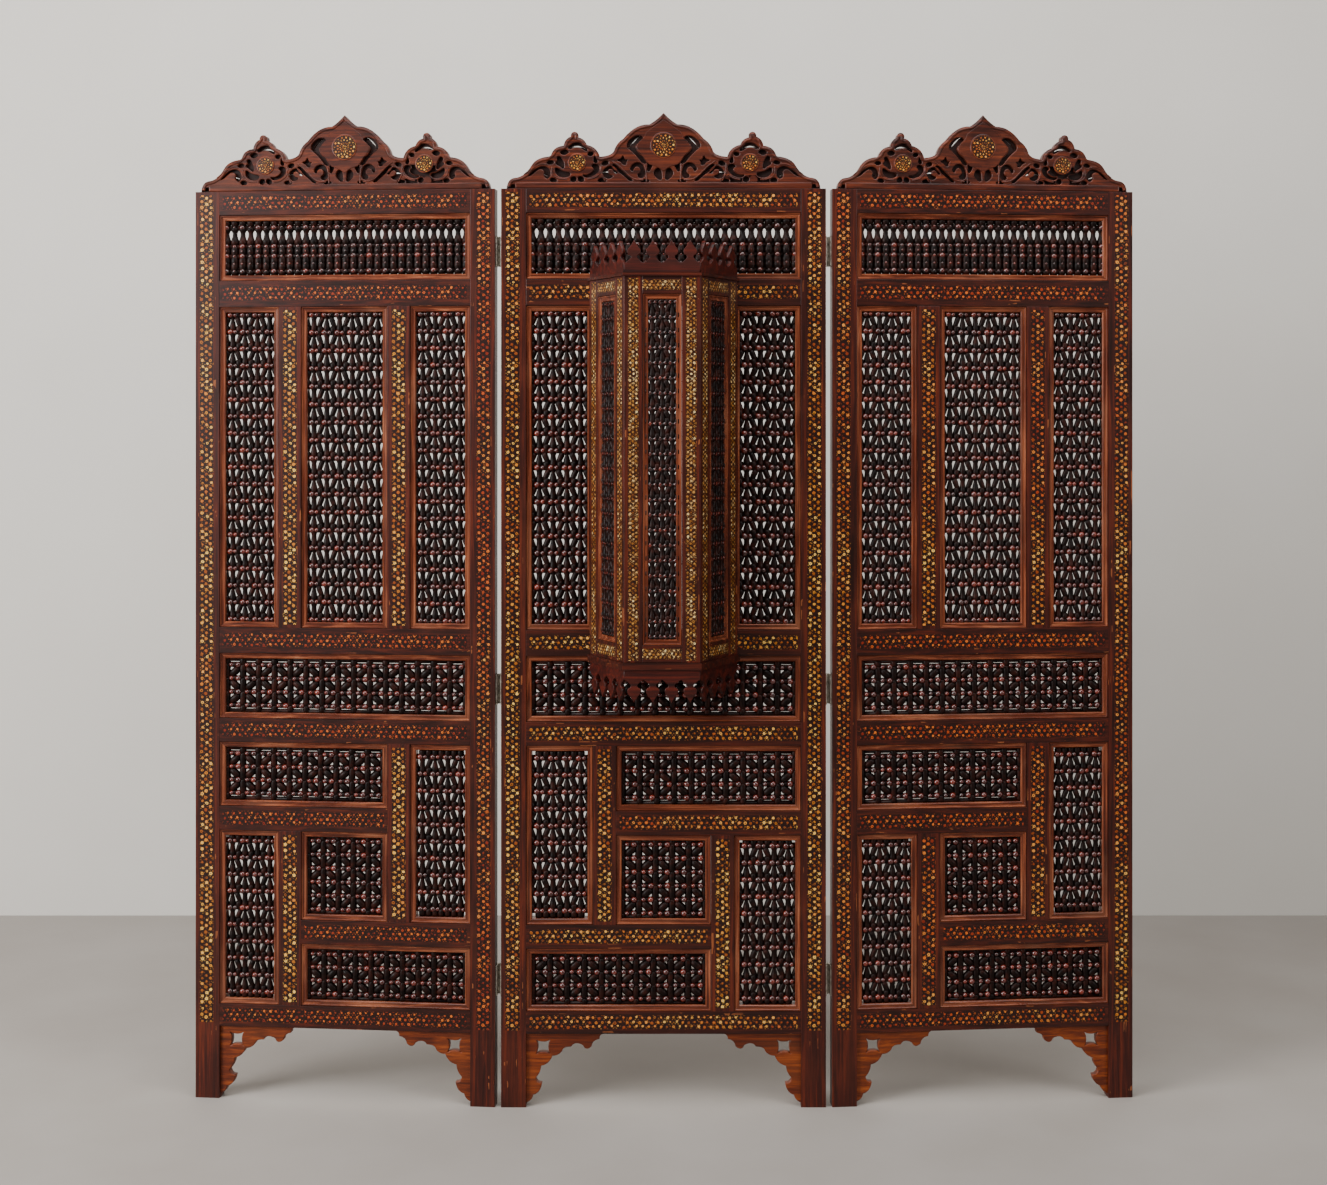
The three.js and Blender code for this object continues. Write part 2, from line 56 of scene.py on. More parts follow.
# Joinery
WING_TURN = math.radians(5)
GLUE_GAP = 0.3 * MM
BAR_WIDTH = 46 * MM
SASH_RIM = 11 * MM
EDGE_ROUNDING = 0.6 * MM
EASED_ANGLE = math.radians(40)
BAND_WIDTH = 28 * MM
BAND_END_MARGIN = 7 * MM
STILE_BAND_INSET = 9 * MM
RAIL_BAND_RISE = 1 * MM
BAY_BAND_WIDTH = 20 * MM
BAY_WALL = 14 * MM

# Mouldings: steps inwards and outwards across a sash's face
SASH_STEPS = (
    (0.9, 0.9),
    (1.4, 0.0),
    (0.9, -1.2),
    (0.5, -0.8),
    (3.6, -0.3),
    (0.5, 0.9),
    (1.6, 0.0),
    (1.6, -2.0),
)

# Turned work: radius in millimetres at shares of a spindle's length
BEAD_RADIUS = 6.0 * MM
SMALL_BEAD_RADIUS = 4.5 * MM
TINY_BEAD_RADIUS = 2.8 * MM
LINK = ((0.0, 5.8), (0.5, 5.6), (1.0, 5.8))
TALL_KNOT = (
    (0.0, 5.6), (0.08, 6.0), (0.15, 7.0), (0.27, 6.8), (0.36, 5.8), (0.49, 5.8), (0.71, 4.9), (0.82, 6.2),
    (0.9, 7.0), (1.0, 6.4),
)
TALL_CONE = (
    (0.0, 5.6), (0.08, 6.0), (0.15, 7.0), (0.27, 7.0), (0.36, 6.6), (0.49, 5.8), (0.71, 3.6), (0.84, 4.4),
    (0.92, 6.0), (1.0, 6.0),
)
TALL_BULB = ((0.0, 6.4), (0.3, 6.8), (0.72, 6.8), (1.0, 5.4))
TALL_LEAF = ((0.0, 4.8), (0.35, 5.4), (0.7, 5.8), (1.0, 5.2))
WIDE_UPRIGHT = ((0.0, 6.6), (0.12, 6.6), (0.22, 7.4), (0.5, 7.0), (0.78, 7.4), (0.88, 6.6), (1.0, 6.6))
WIDE_LEAF = ((0.18, 2.7), (0.29, 6.8), (0.42, 8.1), (0.58, 8.1), (0.71, 6.8), (0.82, 2.7))
BALUSTER = (
    (0.0, 6.8), (0.08, 6.8), (0.14, 8.8), (0.3, 8.8), (0.4, 7.2), (0.54, 5.5), (0.7, 5.0), (0.8, 6.4),
    (0.87, 8.8), (0.93, 8.0), (1.0, 8.0),
)
BALUSTER_FOOT = ((0.0, 7.8), (0.2, 7.8), (0.36, 9.0), (0.64, 9.0), (0.8, 7.8), (1.0, 7.8))
BALUSTER_DROP = (
    (0.0, 7.8), (0.14, 7.8), (0.24, 9.0), (0.42, 9.0), (0.5, 8.2), (0.58, 9.0), (0.76, 9.0), (0.86, 7.8),
    (1.0, 7.8),
)
BALUSTER_CAP = ((0.0, 8.0), (0.45, 8.0), (0.6, 9.0), (1.0, 9.0))
STUB = ((0.0, 6.4), (0.3, 7.4), (0.7, 7.4), (1.0, 6.4))
SPINDLE_SIDES = 6
FRIEZE_RAIL_RADIUS = 5.4
BEAD_FORWARD = 3.4 * MM
BEAD_STRETCH = (1.08, 1, 0.96)
TALL_BEADS = (-4.0 * MM, 6.2 * MM)
WIDE_BEADS = (-8.6 * MM, 9.6 * MM)
BULB_SHARE = 0.36
LEAF_LOW = 0.25
LEAF_RISE = 0.63
LEAF_START = -3.8 * MM
LEAF_RUN = 8.6 * MM
EDGE_RAIL_RADIUS = 4.6
EDGE_RAIL_INSET = 2.4 * MM
WIDEST_RADIUS = 7.0

# Lattice panels: columns and rows of main beads, their pitches in millimetres, the scale of the
# turned work, and whether it is a tall panel's, with knots, cones and short leaves by turns
PATTERNS = {
    "side_upper": (4, 19, 25.6, 34.3, 1.0, True),
    "side_upper_middle": (6, 18, 26.4, 36.3, 1.0, True),
    "side_waist": (16, 4, 32.85, 27.4, 1.0, False),
    "side_lower_wide": (11, 4, 32.3, 26.8, 1.0, False),
    "side_lower_tall": (4, 10, 26.0, 34.0, 1.0, True),
    "side_lower_middle": (6, 6, 30.9, 27.7, 1.0, False),
    "centre_upper": (4, 19, 27.6, 34.3, 1.08, True),
    "centre_waist": (16, 4, 35.05, 27.4, 1.04, False),
    "centre_lower_wide": (11, 4, 34.6, 26.8, 1.04, False),
    "centre_lower_tall": (4, 10, 28.0, 34.0, 1.08, True),
    "centre_lower_middle": (6, 6, 33.3, 27.7, 1.04, False),
    "bay": (3, 23, 19.5, 29.4, 0.96, True),
}
FRIEZE_COLUMNS = 15
FRIEZE_ROWS = (0.88, 0.535, 0.355, 0.075)
FRIEZE_STEP = 16.5 * MM

# Photograph: where its camera stood, worked out from the floor line and the bay's lines
PHOTO_WIDTH = 1327
PHOTO_HEIGHT = 1185
PHOTO_FOCUS = 1800
PHOTO_HORIZON = 425
PHOTO_VANISHING = 700
EYE_HEIGHT = 1.365
EYE_SIDE = 0.073
EYE_DISTANCE = 3.6
SENSOR = 36


def linear(code):
    """An sRGB hex colour as linear red, green, blue and alpha."""
    parts = [int(code[i : i + 2], 16) / 255 for i in (1, 3, 5)]
    return [p / 12.92 if p <= 0.04045 else ((p + 0.055) / 1.055) ** 2.4 for p in parts] + [1.0]


# Materials

GRAIN_DRAW = 0.035
STREAK_LEVELS = (0.28, 0.48, 0.62, 0.78)
PORE_MM = 0.9
SPECKLE_MM = 2.6
UNEVEN_MM = 2.6
CHIP_SPREAD_MM = 1.2
EYED_ABOVE = 0.62
EYE_SHARE = 0.36
CRUMB_MM = 1.1
CRUMBS_ABOVE = 0.35
COLOUR_DRIFT = 1.8
RING_ROUGHNESS = 0.45


def new_material(name):
    """An empty node material, its tree, and its Principled shader."""
    material = bpy.data.materials.new(name)
    material.use_nodes = True
    tree = material.node_tree
    return material, tree, tree.nodes["Principled BSDF"]


def add(tree, kind, inputs=None, **settings):
    """A node with its settings, each input a value or another node's output."""
    node = tree.nodes.new(kind)
    for key, value in settings.items():
        setattr(node, key, value)
    for key, value in (inputs or {}).items():
        if isinstance(value, bpy.types.NodeSocket):
            tree.links.new(value, node.inputs[key])
        else:
            node.inputs[key].default_value = value
    return node


def calc(tree, operation, *values):
    """The output of a Math node on values or outputs."""
    return add(tree, "ShaderNodeMath", dict(enumerate(values)), operation=operation).outputs[0]


def ramp(tree, factor, stops):
    """The colour output of a Color Ramp with (position, hex colour) stops."""
    node = add(tree, "ShaderNodeValToRGB", {"Fac": factor})
    elements = node.color_ramp.elements
    while len(elements) < len(stops):
        elements.new(0.5)
    for element, (position, code) in zip(elements, stops):
        element.position = position
        element.color = linear(code)
    return node.outputs["Color"]


def blend_colours(tree, factor, first, second, how="MIX"):
    """The colour output of a Mix node."""
    node = add(tree, "ShaderNodeMix", {"Factor": factor}, data_type="RGBA", blend_type=how)
    for key, value in (("A", first), ("B", second)):
        socket = next(s for s in node.inputs if s.name == key and s.type == "RGBA")
        if isinstance(value, bpy.types.NodeSocket):
            tree.links.new(value, socket)
        else:
            socket.default_value = value
    return next(s for s in node.outputs if s.type == "RGBA")


def object_place(tree):
    """Object coordinates."""
    return add(tree, "ShaderNodeTexCoord").outputs["Object"]


def noise(tree, place, scale, detail, **more):
    """The grey output of a Noise texture."""
    inputs = {"Vector": place, "Scale": scale, "Detail": detail, **more}
    return add(tree, "ShaderNodeTexNoise", inputs).outputs["Fac"]


def length_of(tree, x, y):
    """The length of a flat vector."""
    return calc(tree, "SQRT", calc(tree, "ADD", calc(tree, "MULTIPLY", x, x), calc(tree, "MULTIPLY", y, y)))


def bump(tree, shader, height, distance, strength=1.0):
    """Relief on a shader from a height output, its depth in metres."""
    node = add(tree, "ShaderNodeBump", {"Height": height, "Distance": distance, "Strength": strength})
    tree.links.new(node.outputs["Normal"], shader.inputs["Normal"])


def grain_space(tree, grain):
    """Object coordinates drawn out along the grain, so that noise makes streaks of it."""
    stretch = {"x": (GRAIN_DRAW, 1, 1), "z": (1, 1, GRAIN_DRAW)}[grain]
    inputs = {"Vector": object_place(tree), "Scale": stretch}
    return add(tree, "ShaderNodeMapping", inputs).outputs["Vector"]


def varnished_wood(name, grain, tones, roughness=0.42, coat=0.12, streak_mm=7.0, worn=0.0):
    """Hardwood planed, stained and brushed with satin varnish: streaks along the grain, fine dark pores,
    a slightly uneven gloss where hands have rubbed it, and small scuffs through the stain."""
    material, tree, shader = new_material(name)
    space = grain_space(tree, grain)
    place = object_place(tree)
    streaks = noise(tree, space, 1000 / streak_mm, 5.0, Roughness=0.6, Distortion=0.4)
    colour = ramp(tree, streaks, tuple(zip(STREAK_LEVELS, tones)))
    pores = calc(tree, "GREATER_THAN", noise(tree, space, 1000 / PORE_MM, 2.0), 0.62)
    colour = blend_colours(tree, calc(tree, "MULTIPLY", pores, 0.45), colour, linear(tones[0]))
    rubbed = noise(tree, place, 9.0, 3.0)
    patch = calc(tree, "MULTIPLY", calc(tree, "SUBTRACT", rubbed, 0.5), 0.9)
    colour = blend_colours(tree, calc(tree, "MAXIMUM", patch, 0.0), colour, linear(tones[3]))
    if worn:
        knocks = calc(tree, "GREATER_THAN", noise(tree, space, 260.0, 3.0), 0.62)
        spots = calc(tree, "GREATER_THAN", noise(tree, place, 26.0, 2.0), 0.62)
        scuffed = calc(tree, "MULTIPLY", knocks, spots)
        colour = blend_colours(tree, calc(tree, "MULTIPLY", scuffed, worn), colour, linear(WORN_TONE))
    tree.links.new(colour, shader.inputs["Base Color"])
    gloss = calc(tree, "ADD", roughness - 0.08, calc(tree, "MULTIPLY", rubbed, 0.16))
    tree.links.new(gloss, shader.inputs["Roughness"])
    shader.inputs["IOR"].default_value = 1.5
    shader.inputs["Specular IOR Level"].default_value = 0.22
    shader.inputs["Coat Weight"].default_value = coat
    shader.inputs["Coat Roughness"].default_value = 0.22
    bump(tree, shader, streaks, 0.0004, 0.5)
    return material


def turned_wood(name, tones, roughness, coat, shine):
    """Beech turned on a lathe, stained nearly black-brown and varnished."""
    material, tree, shader = new_material(name)
    cloud = noise(tree, object_place(tree), 60.0, 3.0)
    colour = ramp(tree, cloud, ((0.3, tones[0]), (0.5, tones[1]), (0.68, tones[2])))
    tree.links.new(colour, shader.inputs["Base Color"])
    shader.inputs["Roughness"].default_value = roughness
    shader.inputs["IOR"].default_value = 1.5
    shader.inputs["Specular IOR Level"].default_value = shine
    shader.inputs["Coat Weight"].default_value = coat
    shader.inputs["Coat Roughness"].default_value = 0.09
    return material


def inlay(name, ground, warm, light, bias, pitch_mm, row_mm, chip_mm, ring_mm=0):
    """Marquetry set flush in a dark mastic ground: small hand-cut chips of bone and tinted wood in
    staggered rows, some with a dark eye, and fine crumbs between. The UV map runs in metres, u along
    the band and v across it from its middle; with ring_mm the rows run in rings about the map's
    middle instead."""
    material, tree, shader = new_material(name)
    place = object_place(tree)
    flat = add(tree, "ShaderNodeSeparateXYZ", {"Vector": add(tree, "ShaderNodeUVMap").outputs["UV"]})
    u, v = flat.outputs["X"], flat.outputs["Y"]
    if ring_mm:
        angle = calc(tree, "ARCTAN2", v, u)
        reach = length_of(tree, u, v)
        u = calc(tree, "MULTIPLY", angle, ring_mm * MM)
        v = calc(tree, "SUBTRACT", reach, ring_mm * MM)
    along = calc(tree, "DIVIDE", u, pitch_mm * MM)
    across = calc(tree, "DIVIDE", v, 2 * row_mm * MM)
    first = calc(tree, "ADD", along, across)
    second = calc(tree, "SUBTRACT", along, across)
    grid = add(tree, "ShaderNodeCombineXYZ", {"X": first, "Y": second}).outputs["Vector"]
    speckle = noise(tree, place, 1000 / SPECKLE_MM, 1.0)
    rough = RING_ROUGHNESS if ring_mm else 1.0
    uneven = calc(tree, "MULTIPLY", calc(tree, "SUBTRACT", speckle, 0.5), UNEVEN_MM * rough)

    def scatter(scale, jitter):
        """Distance in millimetres from the nearest chip's middle, and that chip's random numbers."""
        cells = add(
            tree,
            "ShaderNodeTexVoronoi",
            {"Vector": grid, "Scale": scale, "Randomness": jitter},
            voronoi_dimensions="2D",
            feature="F1",
        )
        here = add(tree, "ShaderNodeSeparateXYZ", {"Vector": grid})
        there = add(tree, "ShaderNodeSeparateXYZ", {"Vector": cells.outputs["Position"]})
        da = calc(tree, "SUBTRACT", here.outputs["X"], there.outputs["X"])
        db = calc(tree, "SUBTRACT", here.outputs["Y"], there.outputs["Y"])
        dx = calc(tree, "MULTIPLY", calc(tree, "ADD", da, db), pitch_mm / 2)
        dy = calc(tree, "MULTIPLY", calc(tree, "SUBTRACT", da, db), row_mm)
        pick = add(tree, "ShaderNodeSeparateColor", {"Color": cells.outputs["Color"]})
        return calc(tree, "ADD", length_of(tree, dx, dy), uneven), pick

    away, pick = scatter(1.0, 0.25 * rough)
    size = calc(tree, "MULTIPLY_ADD", pick.outputs["Green"], CHIP_SPREAD_MM, chip_mm - CHIP_SPREAD_MM / 2)
    chip_mask = calc(tree, "LESS_THAN", away, size)
    eyed = calc(tree, "GREATER_THAN", pick.outputs["Blue"], EYED_ABOVE)
    eye = calc(tree, "MULTIPLY", calc(tree, "LESS_THAN", away, chip_mm * EYE_SHARE), eyed)
    chip_mask = calc(tree, "SUBTRACT", chip_mask, eye)
    crumb_away, crumb_pick = scatter(2.0, 0.6 * rough)
    kept = calc(tree, "GREATER_THAN", crumb_pick.outputs["Red"], CRUMBS_ABOVE)
    crumb_mask = calc(tree, "MULTIPLY", calc(tree, "LESS_THAN", crumb_away, CRUMB_MM * rough), kept)
    drift = noise(tree, place, 2.4, 1.0)
    lean = calc(tree, "MULTIPLY_ADD", calc(tree, "SUBTRACT", drift, 0.5), COLOUR_DRIFT, bias)
    scattered = calc(tree, "MULTIPLY", calc(tree, "SUBTRACT", pick.outputs["Blue"], 0.5), 0.5)
    lean = add(tree, "ShaderNodeClamp", {"Value": calc(tree, "ADD", lean, scattered)}).outputs[0]
    warm_colour = ramp(tree, pick.outputs["Red"], tuple(zip((0.1, 0.5, 0.9), warm)))
    light_colour = ramp(tree, pick.outputs["Red"], tuple(zip((0.1, 0.5, 0.9), light)))
    chip_colour = blend_colours(tree, lean, warm_colour, light_colour)
    crumb_colour = blend_colours(tree, 0.6, chip_colour, linear(ground[1]))
    ground_colour = ramp(tree, speckle, ((0.35, ground[0]), (0.65, ground[1])))
    colour = blend_colours(tree, crumb_mask, ground_colour, crumb_colour)
    colour = blend_colours(tree, chip_mask, colour, chip_colour)
    tree.links.new(colour, shader.inputs["Base Color"])
    shader.inputs["Roughness"].default_value = 0.4
    shader.inputs["IOR"].default_value = 1.5
    shader.inputs["Specular IOR Level"].default_value = 0.25
    shader.inputs["Coat Weight"].default_value = 0.1
    shader.inputs["Coat Roughness"].default_value = 0.22
    bump(tree, shader, chip_mask, 0.00025, 0.6)
    return material


def aged_steel():
    """Drawn steel hinge leaves, dulled by handling, with faint brown tarnish."""
    material, tree, shader = new_material("aged_nickel_steel")
    cloud = noise(tree, object_place(tree), 120.0, 4.0)
    colour = ramp(tree, cloud, ((0.3, "#8C8274"), (0.5, "#C9C2B5"), (0.75, "#E6E1D6")))
    tree.links.new(colour, shader.inputs["Base Color"])
    shader.inputs["Metallic"].default_value = 1.0
    tree.links.new(calc(tree, "MULTIPLY_ADD", cloud, 0.3, 0.5), shader.inputs["Roughness"])
    return material


def plain_paint(name, code, roughness, one_sided=False):
    """Matt paint for the floor and the wall. One-sided paint lets a camera behind it look through."""
    material, tree, shader = new_material(name)
    cloud = noise(tree, object_place(tree), 3.0, 6.0)
    shade = calc(tree, "MULTIPLY", calc(tree, "SUBTRACT", cloud, 0.5), 0.12)
    colour = blend_colours(tree, calc(tree, "ADD", shade, 0.06), linear(code), linear("#FFFFFF"))
    tree.links.new(colour, shader.inputs["Base Color"])
    shader.inputs["Roughness"].default_value = roughness
    if one_sided:
        behind = calc(tree, "SUBTRACT", 1.0, add(tree, "ShaderNodeNewGeometry").outputs["Backfacing"])
        tree.links.new(behind, shader.inputs["Alpha"])
    return material


WORN_TONE = "#9A5730"
UPRIGHT_TONES = ("#170602", "#34110A", "#4F1B0D", "#6C2C13")
# Level members: the uprights' mahogany stain painted darker, as painted shade on the rails
LEVEL_SHADED_TONES = ("#150602", "#2B0E08", "#43160A", "#5A230F")
MOULDING_TONES = ("#2C1007", "#5A2614", "#83452A", "#A86F4F")
CARVING_TONES = ("#1A0804", "#3A140A", "#5A2411", "#7E3D1E")
BRACKET_TONES = ("#33130A", "#5A230D", "#7A3613", "#954C1F")
FRET_TONES = ("#190402", "#2F0A04", "#461208", "#5E1E0D")
# Near-black tones for the crest's cut-back ground: painted shade in the hollows between its leaves
RECESS_PAINTED_SHADE_TONES = ("#120605", "#1E0B07", "#2A100A", "#3A160D")
TURNED_TONES = ("#080201", "#150603", "#2C0F08")
BEAD_TONES = ("#260702", "#46100A", "#70200E")

WOOD = {
    "upright": varnished_wood("mahogany_stain_upright", "z", UPRIGHT_TONES, worn=0.6),
    # Level wood: the stain plus painted shade, darker than the upright wood
    "level": varnished_wood("mahogany_stain_level_painted_shade", "x", LEVEL_SHADED_TONES, worn=0.5),
    "sash_upright": varnished_wood("moulding_stain_upright", "z", MOULDING_TONES, 0.34, 0.25),
    "sash_level": varnished_wood("moulding_stain_level", "x", MOULDING_TONES, 0.34, 0.25),
    "carving": varnished_wood("carved_mahogany", "x", CARVING_TONES, 0.42, 0.15),
    # The crest ground's front: painted shade in its hollows
    "painted_recess_shade": varnished_wood("carved_ground_painted_shade", "x", RECESS_PAINTED_SHADE_TONES, 0.6, 0.0),
    "bracket": varnished_wood("bracket_mahogany", "x", BRACKET_TONES, 0.44, 0.1),
    "fret": varnished_wood("fretted_mahogany_dark", "x", FRET_TONES, 0.5, 0.06),
    "turned": turned_wood("turned_beech_dark", TURNED_TONES, 0.5, 0.02, 0.12),
    "bead": turned_wood("turned_beech_red", BEAD_TONES, 0.3, 0.9, 0.4),
}
WARM_CHIPS = ("#741F08", "#A64012", "#C4621B")
GOLD_CHIPS = ("#8E4C0F", "#C48023", "#E8B95A")
DARK_GROUND = ("#130603", "#280D06")
WING_CHIPS = (DARK_GROUND, WARM_CHIPS, GOLD_CHIPS)
BAY_CHIPS = (
    ("#180703", "#3A1A08"),
    ("#5E2C0E", "#824714", "#A46822"),
    ("#8E5B1C", "#BE8C3C", "#E6D097"),
)

# Inlays: a material's name, its colours, its lean from warm to gold, the pitch along its rows, the
# distance between its rows, its chips' radius and its ring's radius, all in millimetres
INLAY_ROWS = {
    "centre_wing_upright": ("inlay_centre_stiles", WING_CHIPS, 0.75, 12.4, 8.8, 2.65),
    "centre_wing_level": ("inlay_centre_rails", WING_CHIPS, 0.55, 12.4, 8.8, 2.5),
    "left_wing_upright": ("inlay_left_stiles", WING_CHIPS, 0.85, 12.4, 8.8, 2.85),
    "left_wing_level": ("inlay_left_rails", WING_CHIPS, -0.35, 12.4, 8.8, 2.15),
    "left_wing_fold": ("inlay_left_fold_stile", WING_CHIPS, 0.1, 12.4, 8.8, 2.6),
    "right_wing_upright": ("inlay_right_stiles", WING_CHIPS, 0.35, 12.4, 8.8, 2.7),
    "right_wing_level": ("inlay_right_rails", WING_CHIPS, -0.2, 12.4, 8.8, 2.4),
    "bay": ("inlay_bay", BAY_CHIPS, 0.35, 8.6, 6.0, 1.85),
    "large_rosette": ("inlay_large_rosette", WING_CHIPS, 0.75, 8.89, 5.6, 1.7, 19.8),
    "small_rosette": ("inlay_small_rosette", WING_CHIPS, 0.75, 6.54, 5.0, 1.4, 12.5),
}
INLAY = {key: inlay(name, *colours, *sizes) for key, (name, colours, *sizes) in INLAY_ROWS.items()}
STEEL = aged_steel()


# Making and finishing pieces


def only(piece):
    """Selects one object and makes it the active one."""
    bpy.ops.object.select_all(action="DESELECT")
    piece.select_set(True)
    bpy.context.view_layer.objects.active = piece


def settle(piece):
    """Puts an object's place, turn and scale into its mesh."""
    only(piece)
    bpy.ops.object.transform_apply(location=True, rotation=True, scale=True)


def paint(piece, *materials):
    """Replaces a piece's materials."""
    piece.data.materials.clear()
    for material in materials:
        piece.data.materials.append(material)


def modify(piece, kind, **settings):
    """Adds a modifier and applies it."""
    only(piece)
    modifier = piece.modifiers.new(kind.lower(), kind)
    for key, value in settings.items():
        setattr(modifier, key, value)
    bpy.ops.object.modifier_apply(modifier=modifier.name)


def ease(piece, width, segments):
    """Rounds a piece's sharp edges."""
    modify(piece, "BEVEL", width=width, segments=segments, limit_method="ANGLE", angle_limit=EASED_ANGLE)


def join(name, parts):
    """One object out of several."""
    bpy.ops.object.select_all(action="DESELECT")
    for part in parts:
        part.select_set(True)
    bpy.context.view_layer.objects.active = parts[0]
    if len(parts) > 1:
        bpy.ops.object.join()
    whole = bpy.context.view_layer.objects.active
    whole.name = name
    whole.data.name = name
    return whole


def twin(piece, matrix):
    """A copy with its own mesh, moved by a matrix."""
    copy = piece.copy()
    copy.data = piece.data.copy()
    copy.data.transform(matrix)
    bpy.context.collection.objects.link(copy)
    return copy


def shift(x, y, z):
    return Matrix.Translation((x, y, z))


def block(low, high):
    """A box between two corners, its place already in its mesh."""
    middle = [(a + b) / 2 for a, b in zip(low, high)]
    size = [b - a for a, b in zip(low, high)]
    bpy.ops.object.select_all(action="DESELECT")
    bpy.ops.mesh.primitive_cube_add(size=1, location=middle, scale=size)
    piece = bpy.context.object
    settle(piece)
    return piece


def cut_across(piece, point, normal):
    """Cuts the whole surface along a plane, keeping both sides."""
    only(piece)
    bpy.ops.object.mode_set(mode="EDIT")
    bpy.ops.mesh.select_all(action="SELECT")
    bpy.ops.mesh.bisect(plane_co=point, plane_no=normal)
    bpy.ops.object.mode_set(mode="OBJECT")


def map_band(piece, across, middle):
    """A UV map in metres over the whole piece: u along the band, v across it from its middle.
    across is 0 for a band that runs up the piece and 2 for one that runs along it."""
    along = 2 - across
    mesh = piece.data
    layer = mesh.uv_layers.active or mesh.uv_layers.new(name="UVMap")
    for corner in mesh.loops:
        place = mesh.vertices[corner.vertex_index].co
        layer.data[corner.index].uv = (place[along], place[across] - middle)


def board(low, high, upright, band, wood, inlaid):
    """A planed board with eased edges and a band of inlay let into its front.
    band is (across low, across high, along low, along high)."""
    piece = block(low, high)
    paint(piece, wood, inlaid)
    across, along = (0, 2) if upright else (2, 0)
    for axis, places in ((across, band[:2]), (along, band[2:])):
        for place in places:
            point = [0, 0, 0]
            point[axis] = place
            normal = [0, 0, 0]
            normal[axis] = 1
            cut_across(piece, point, normal)
    for face in piece.data.polygons:
        middle = face.center
        inside = band[0] < middle[across] < band[1] and band[2] < middle[along] < band[3]
        face.material_index = 1 if inside and face.normal.y < -0.5 else 0
    map_band(piece, across, (band[0] + band[1]) / 2)
    ease(piece, EDGE_ROUNDING, 2)
    return piece


# The wings' places


def wing_side(wing):
    return {"left_wing": -1, "centre_wing": 0, "right_wing": 1}[wing]


def corners_in(node, matrix):
    """Lowest and highest corner of a CAD node in coordinates that the matrix places."""
    back = matrix.inverted()
    points = [back @ v.co for v in frame["nodes"][node].data.vertices]
    low = Vector([min(p[i] for p in points) for i in range(3)])
    high = Vector([max(p[i] for p in points) for i in range(3)])
    return low, high


def wing_matrix(wing):
    """From a wing's own coordinates to the row frame."""
    if wing == "centre_wing":
        low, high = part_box("centre_wing_frame")
        turn = Matrix.Identity(4)
    else:
        joint = next(j for j in frame["joints"] if j["child"] == wing)
        turn = shift(*joint["pos_m"][:2], 0) @ Matrix.Rotation(wing_side(wing) * WING_TURN, 4, "Z")
        low, high = corners_in(wing + "_frame", turn)
    middle = [(a + b) / 2 for a, b in zip(low, high)]
    return turn @ shift(middle[0], middle[1], 0)


PLACES = {wing: wing_matrix(wing) for wing in ("left_wing", "centre_wing", "right_wing")}


def put(piece, name, wing, *nodes, slot):
    """Turns a finished piece into its wing's place, where it stands for CAD nodes."""
    piece.data.transform(PLACES[wing])
    piece.name = name
    piece.data.name = name
    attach(piece, wing)
    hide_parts(*nodes)


# Frames


def light_of(wing, panel):
    """The hole in a wing's frame that a lattice panel fills, as x low, x high, z low, z high."""
    low, high = corners_in(f"{wing}_{panel}", PLACES[wing])
    return low.x - GLUE_GAP, high.x + GLUE_GAP, low.z - GLUE_GAP, high.z + GLUE_GAP


def frame_members(wing):
    """Every stile, rail and bar of a wing: (x low, x high, z low, z high, upright)."""
    low, high = corners_in(wing + "_frame", PLACES[wing])
    leg = corners_in(wing + "_left_bracket", PLACES[wing])[1].z + GLUE_GAP
    frieze = light_of(wing, "frieze_lattice")
    left = light_of(wing, "upper_left_lattice")
    right = light_of(wing, "upper_right_lattice")
    waist = light_of(wing, "waist_lattice")
    top = light_of(wing, "lower_top_lattice")
    tall = light_of(wing, "lower_tall_lattice")
    small = light_of(wing, "lower_middle_lattice")
    short = light_of(wing, "lower_short_lattice")
    bottom = light_of(wing, "lower_bottom_lattice")
    members = [
        (low.x, frieze[0], 0, high.z, True),
        (frieze[1], high.x, 0, high.z, True),
        (frieze[0], frieze[1], frieze[3], high.z, False),
        (frieze[0], frieze[1], left[3], frieze[2], False),
        (frieze[0], frieze[1], waist[3], left[2], False),
        (frieze[0], frieze[1], top[3], waist[2], False),
        (frieze[0], frieze[1], leg, bottom[2], False),
        (left[1], left[1] + BAR_WIDTH, left[2], left[3], True),
        (right[0] - BAR_WIDTH, right[0], left[2], left[3], True),
    ]
    if tall[0] > small[1]:
        members += [
            (small[1], tall[0], tall[2], tall[3], True),
            (frieze[0], small[1], small[3], top[2], False),
            (short[1], small[0], short[2], short[3], True),
            (small[0], frieze[1], bottom[3], small[2], False),
        ]
    else:
        members += [
            (tall[1], small[0], tall[2], tall[3], True),
            (small[0], frieze[1], small[3], top[2], False),
            (small[1], short[0], short[2], short[3], True),
            (frieze[0], small[1], bottom[3], small[2], False),
        ]
    return members, leg, low, high


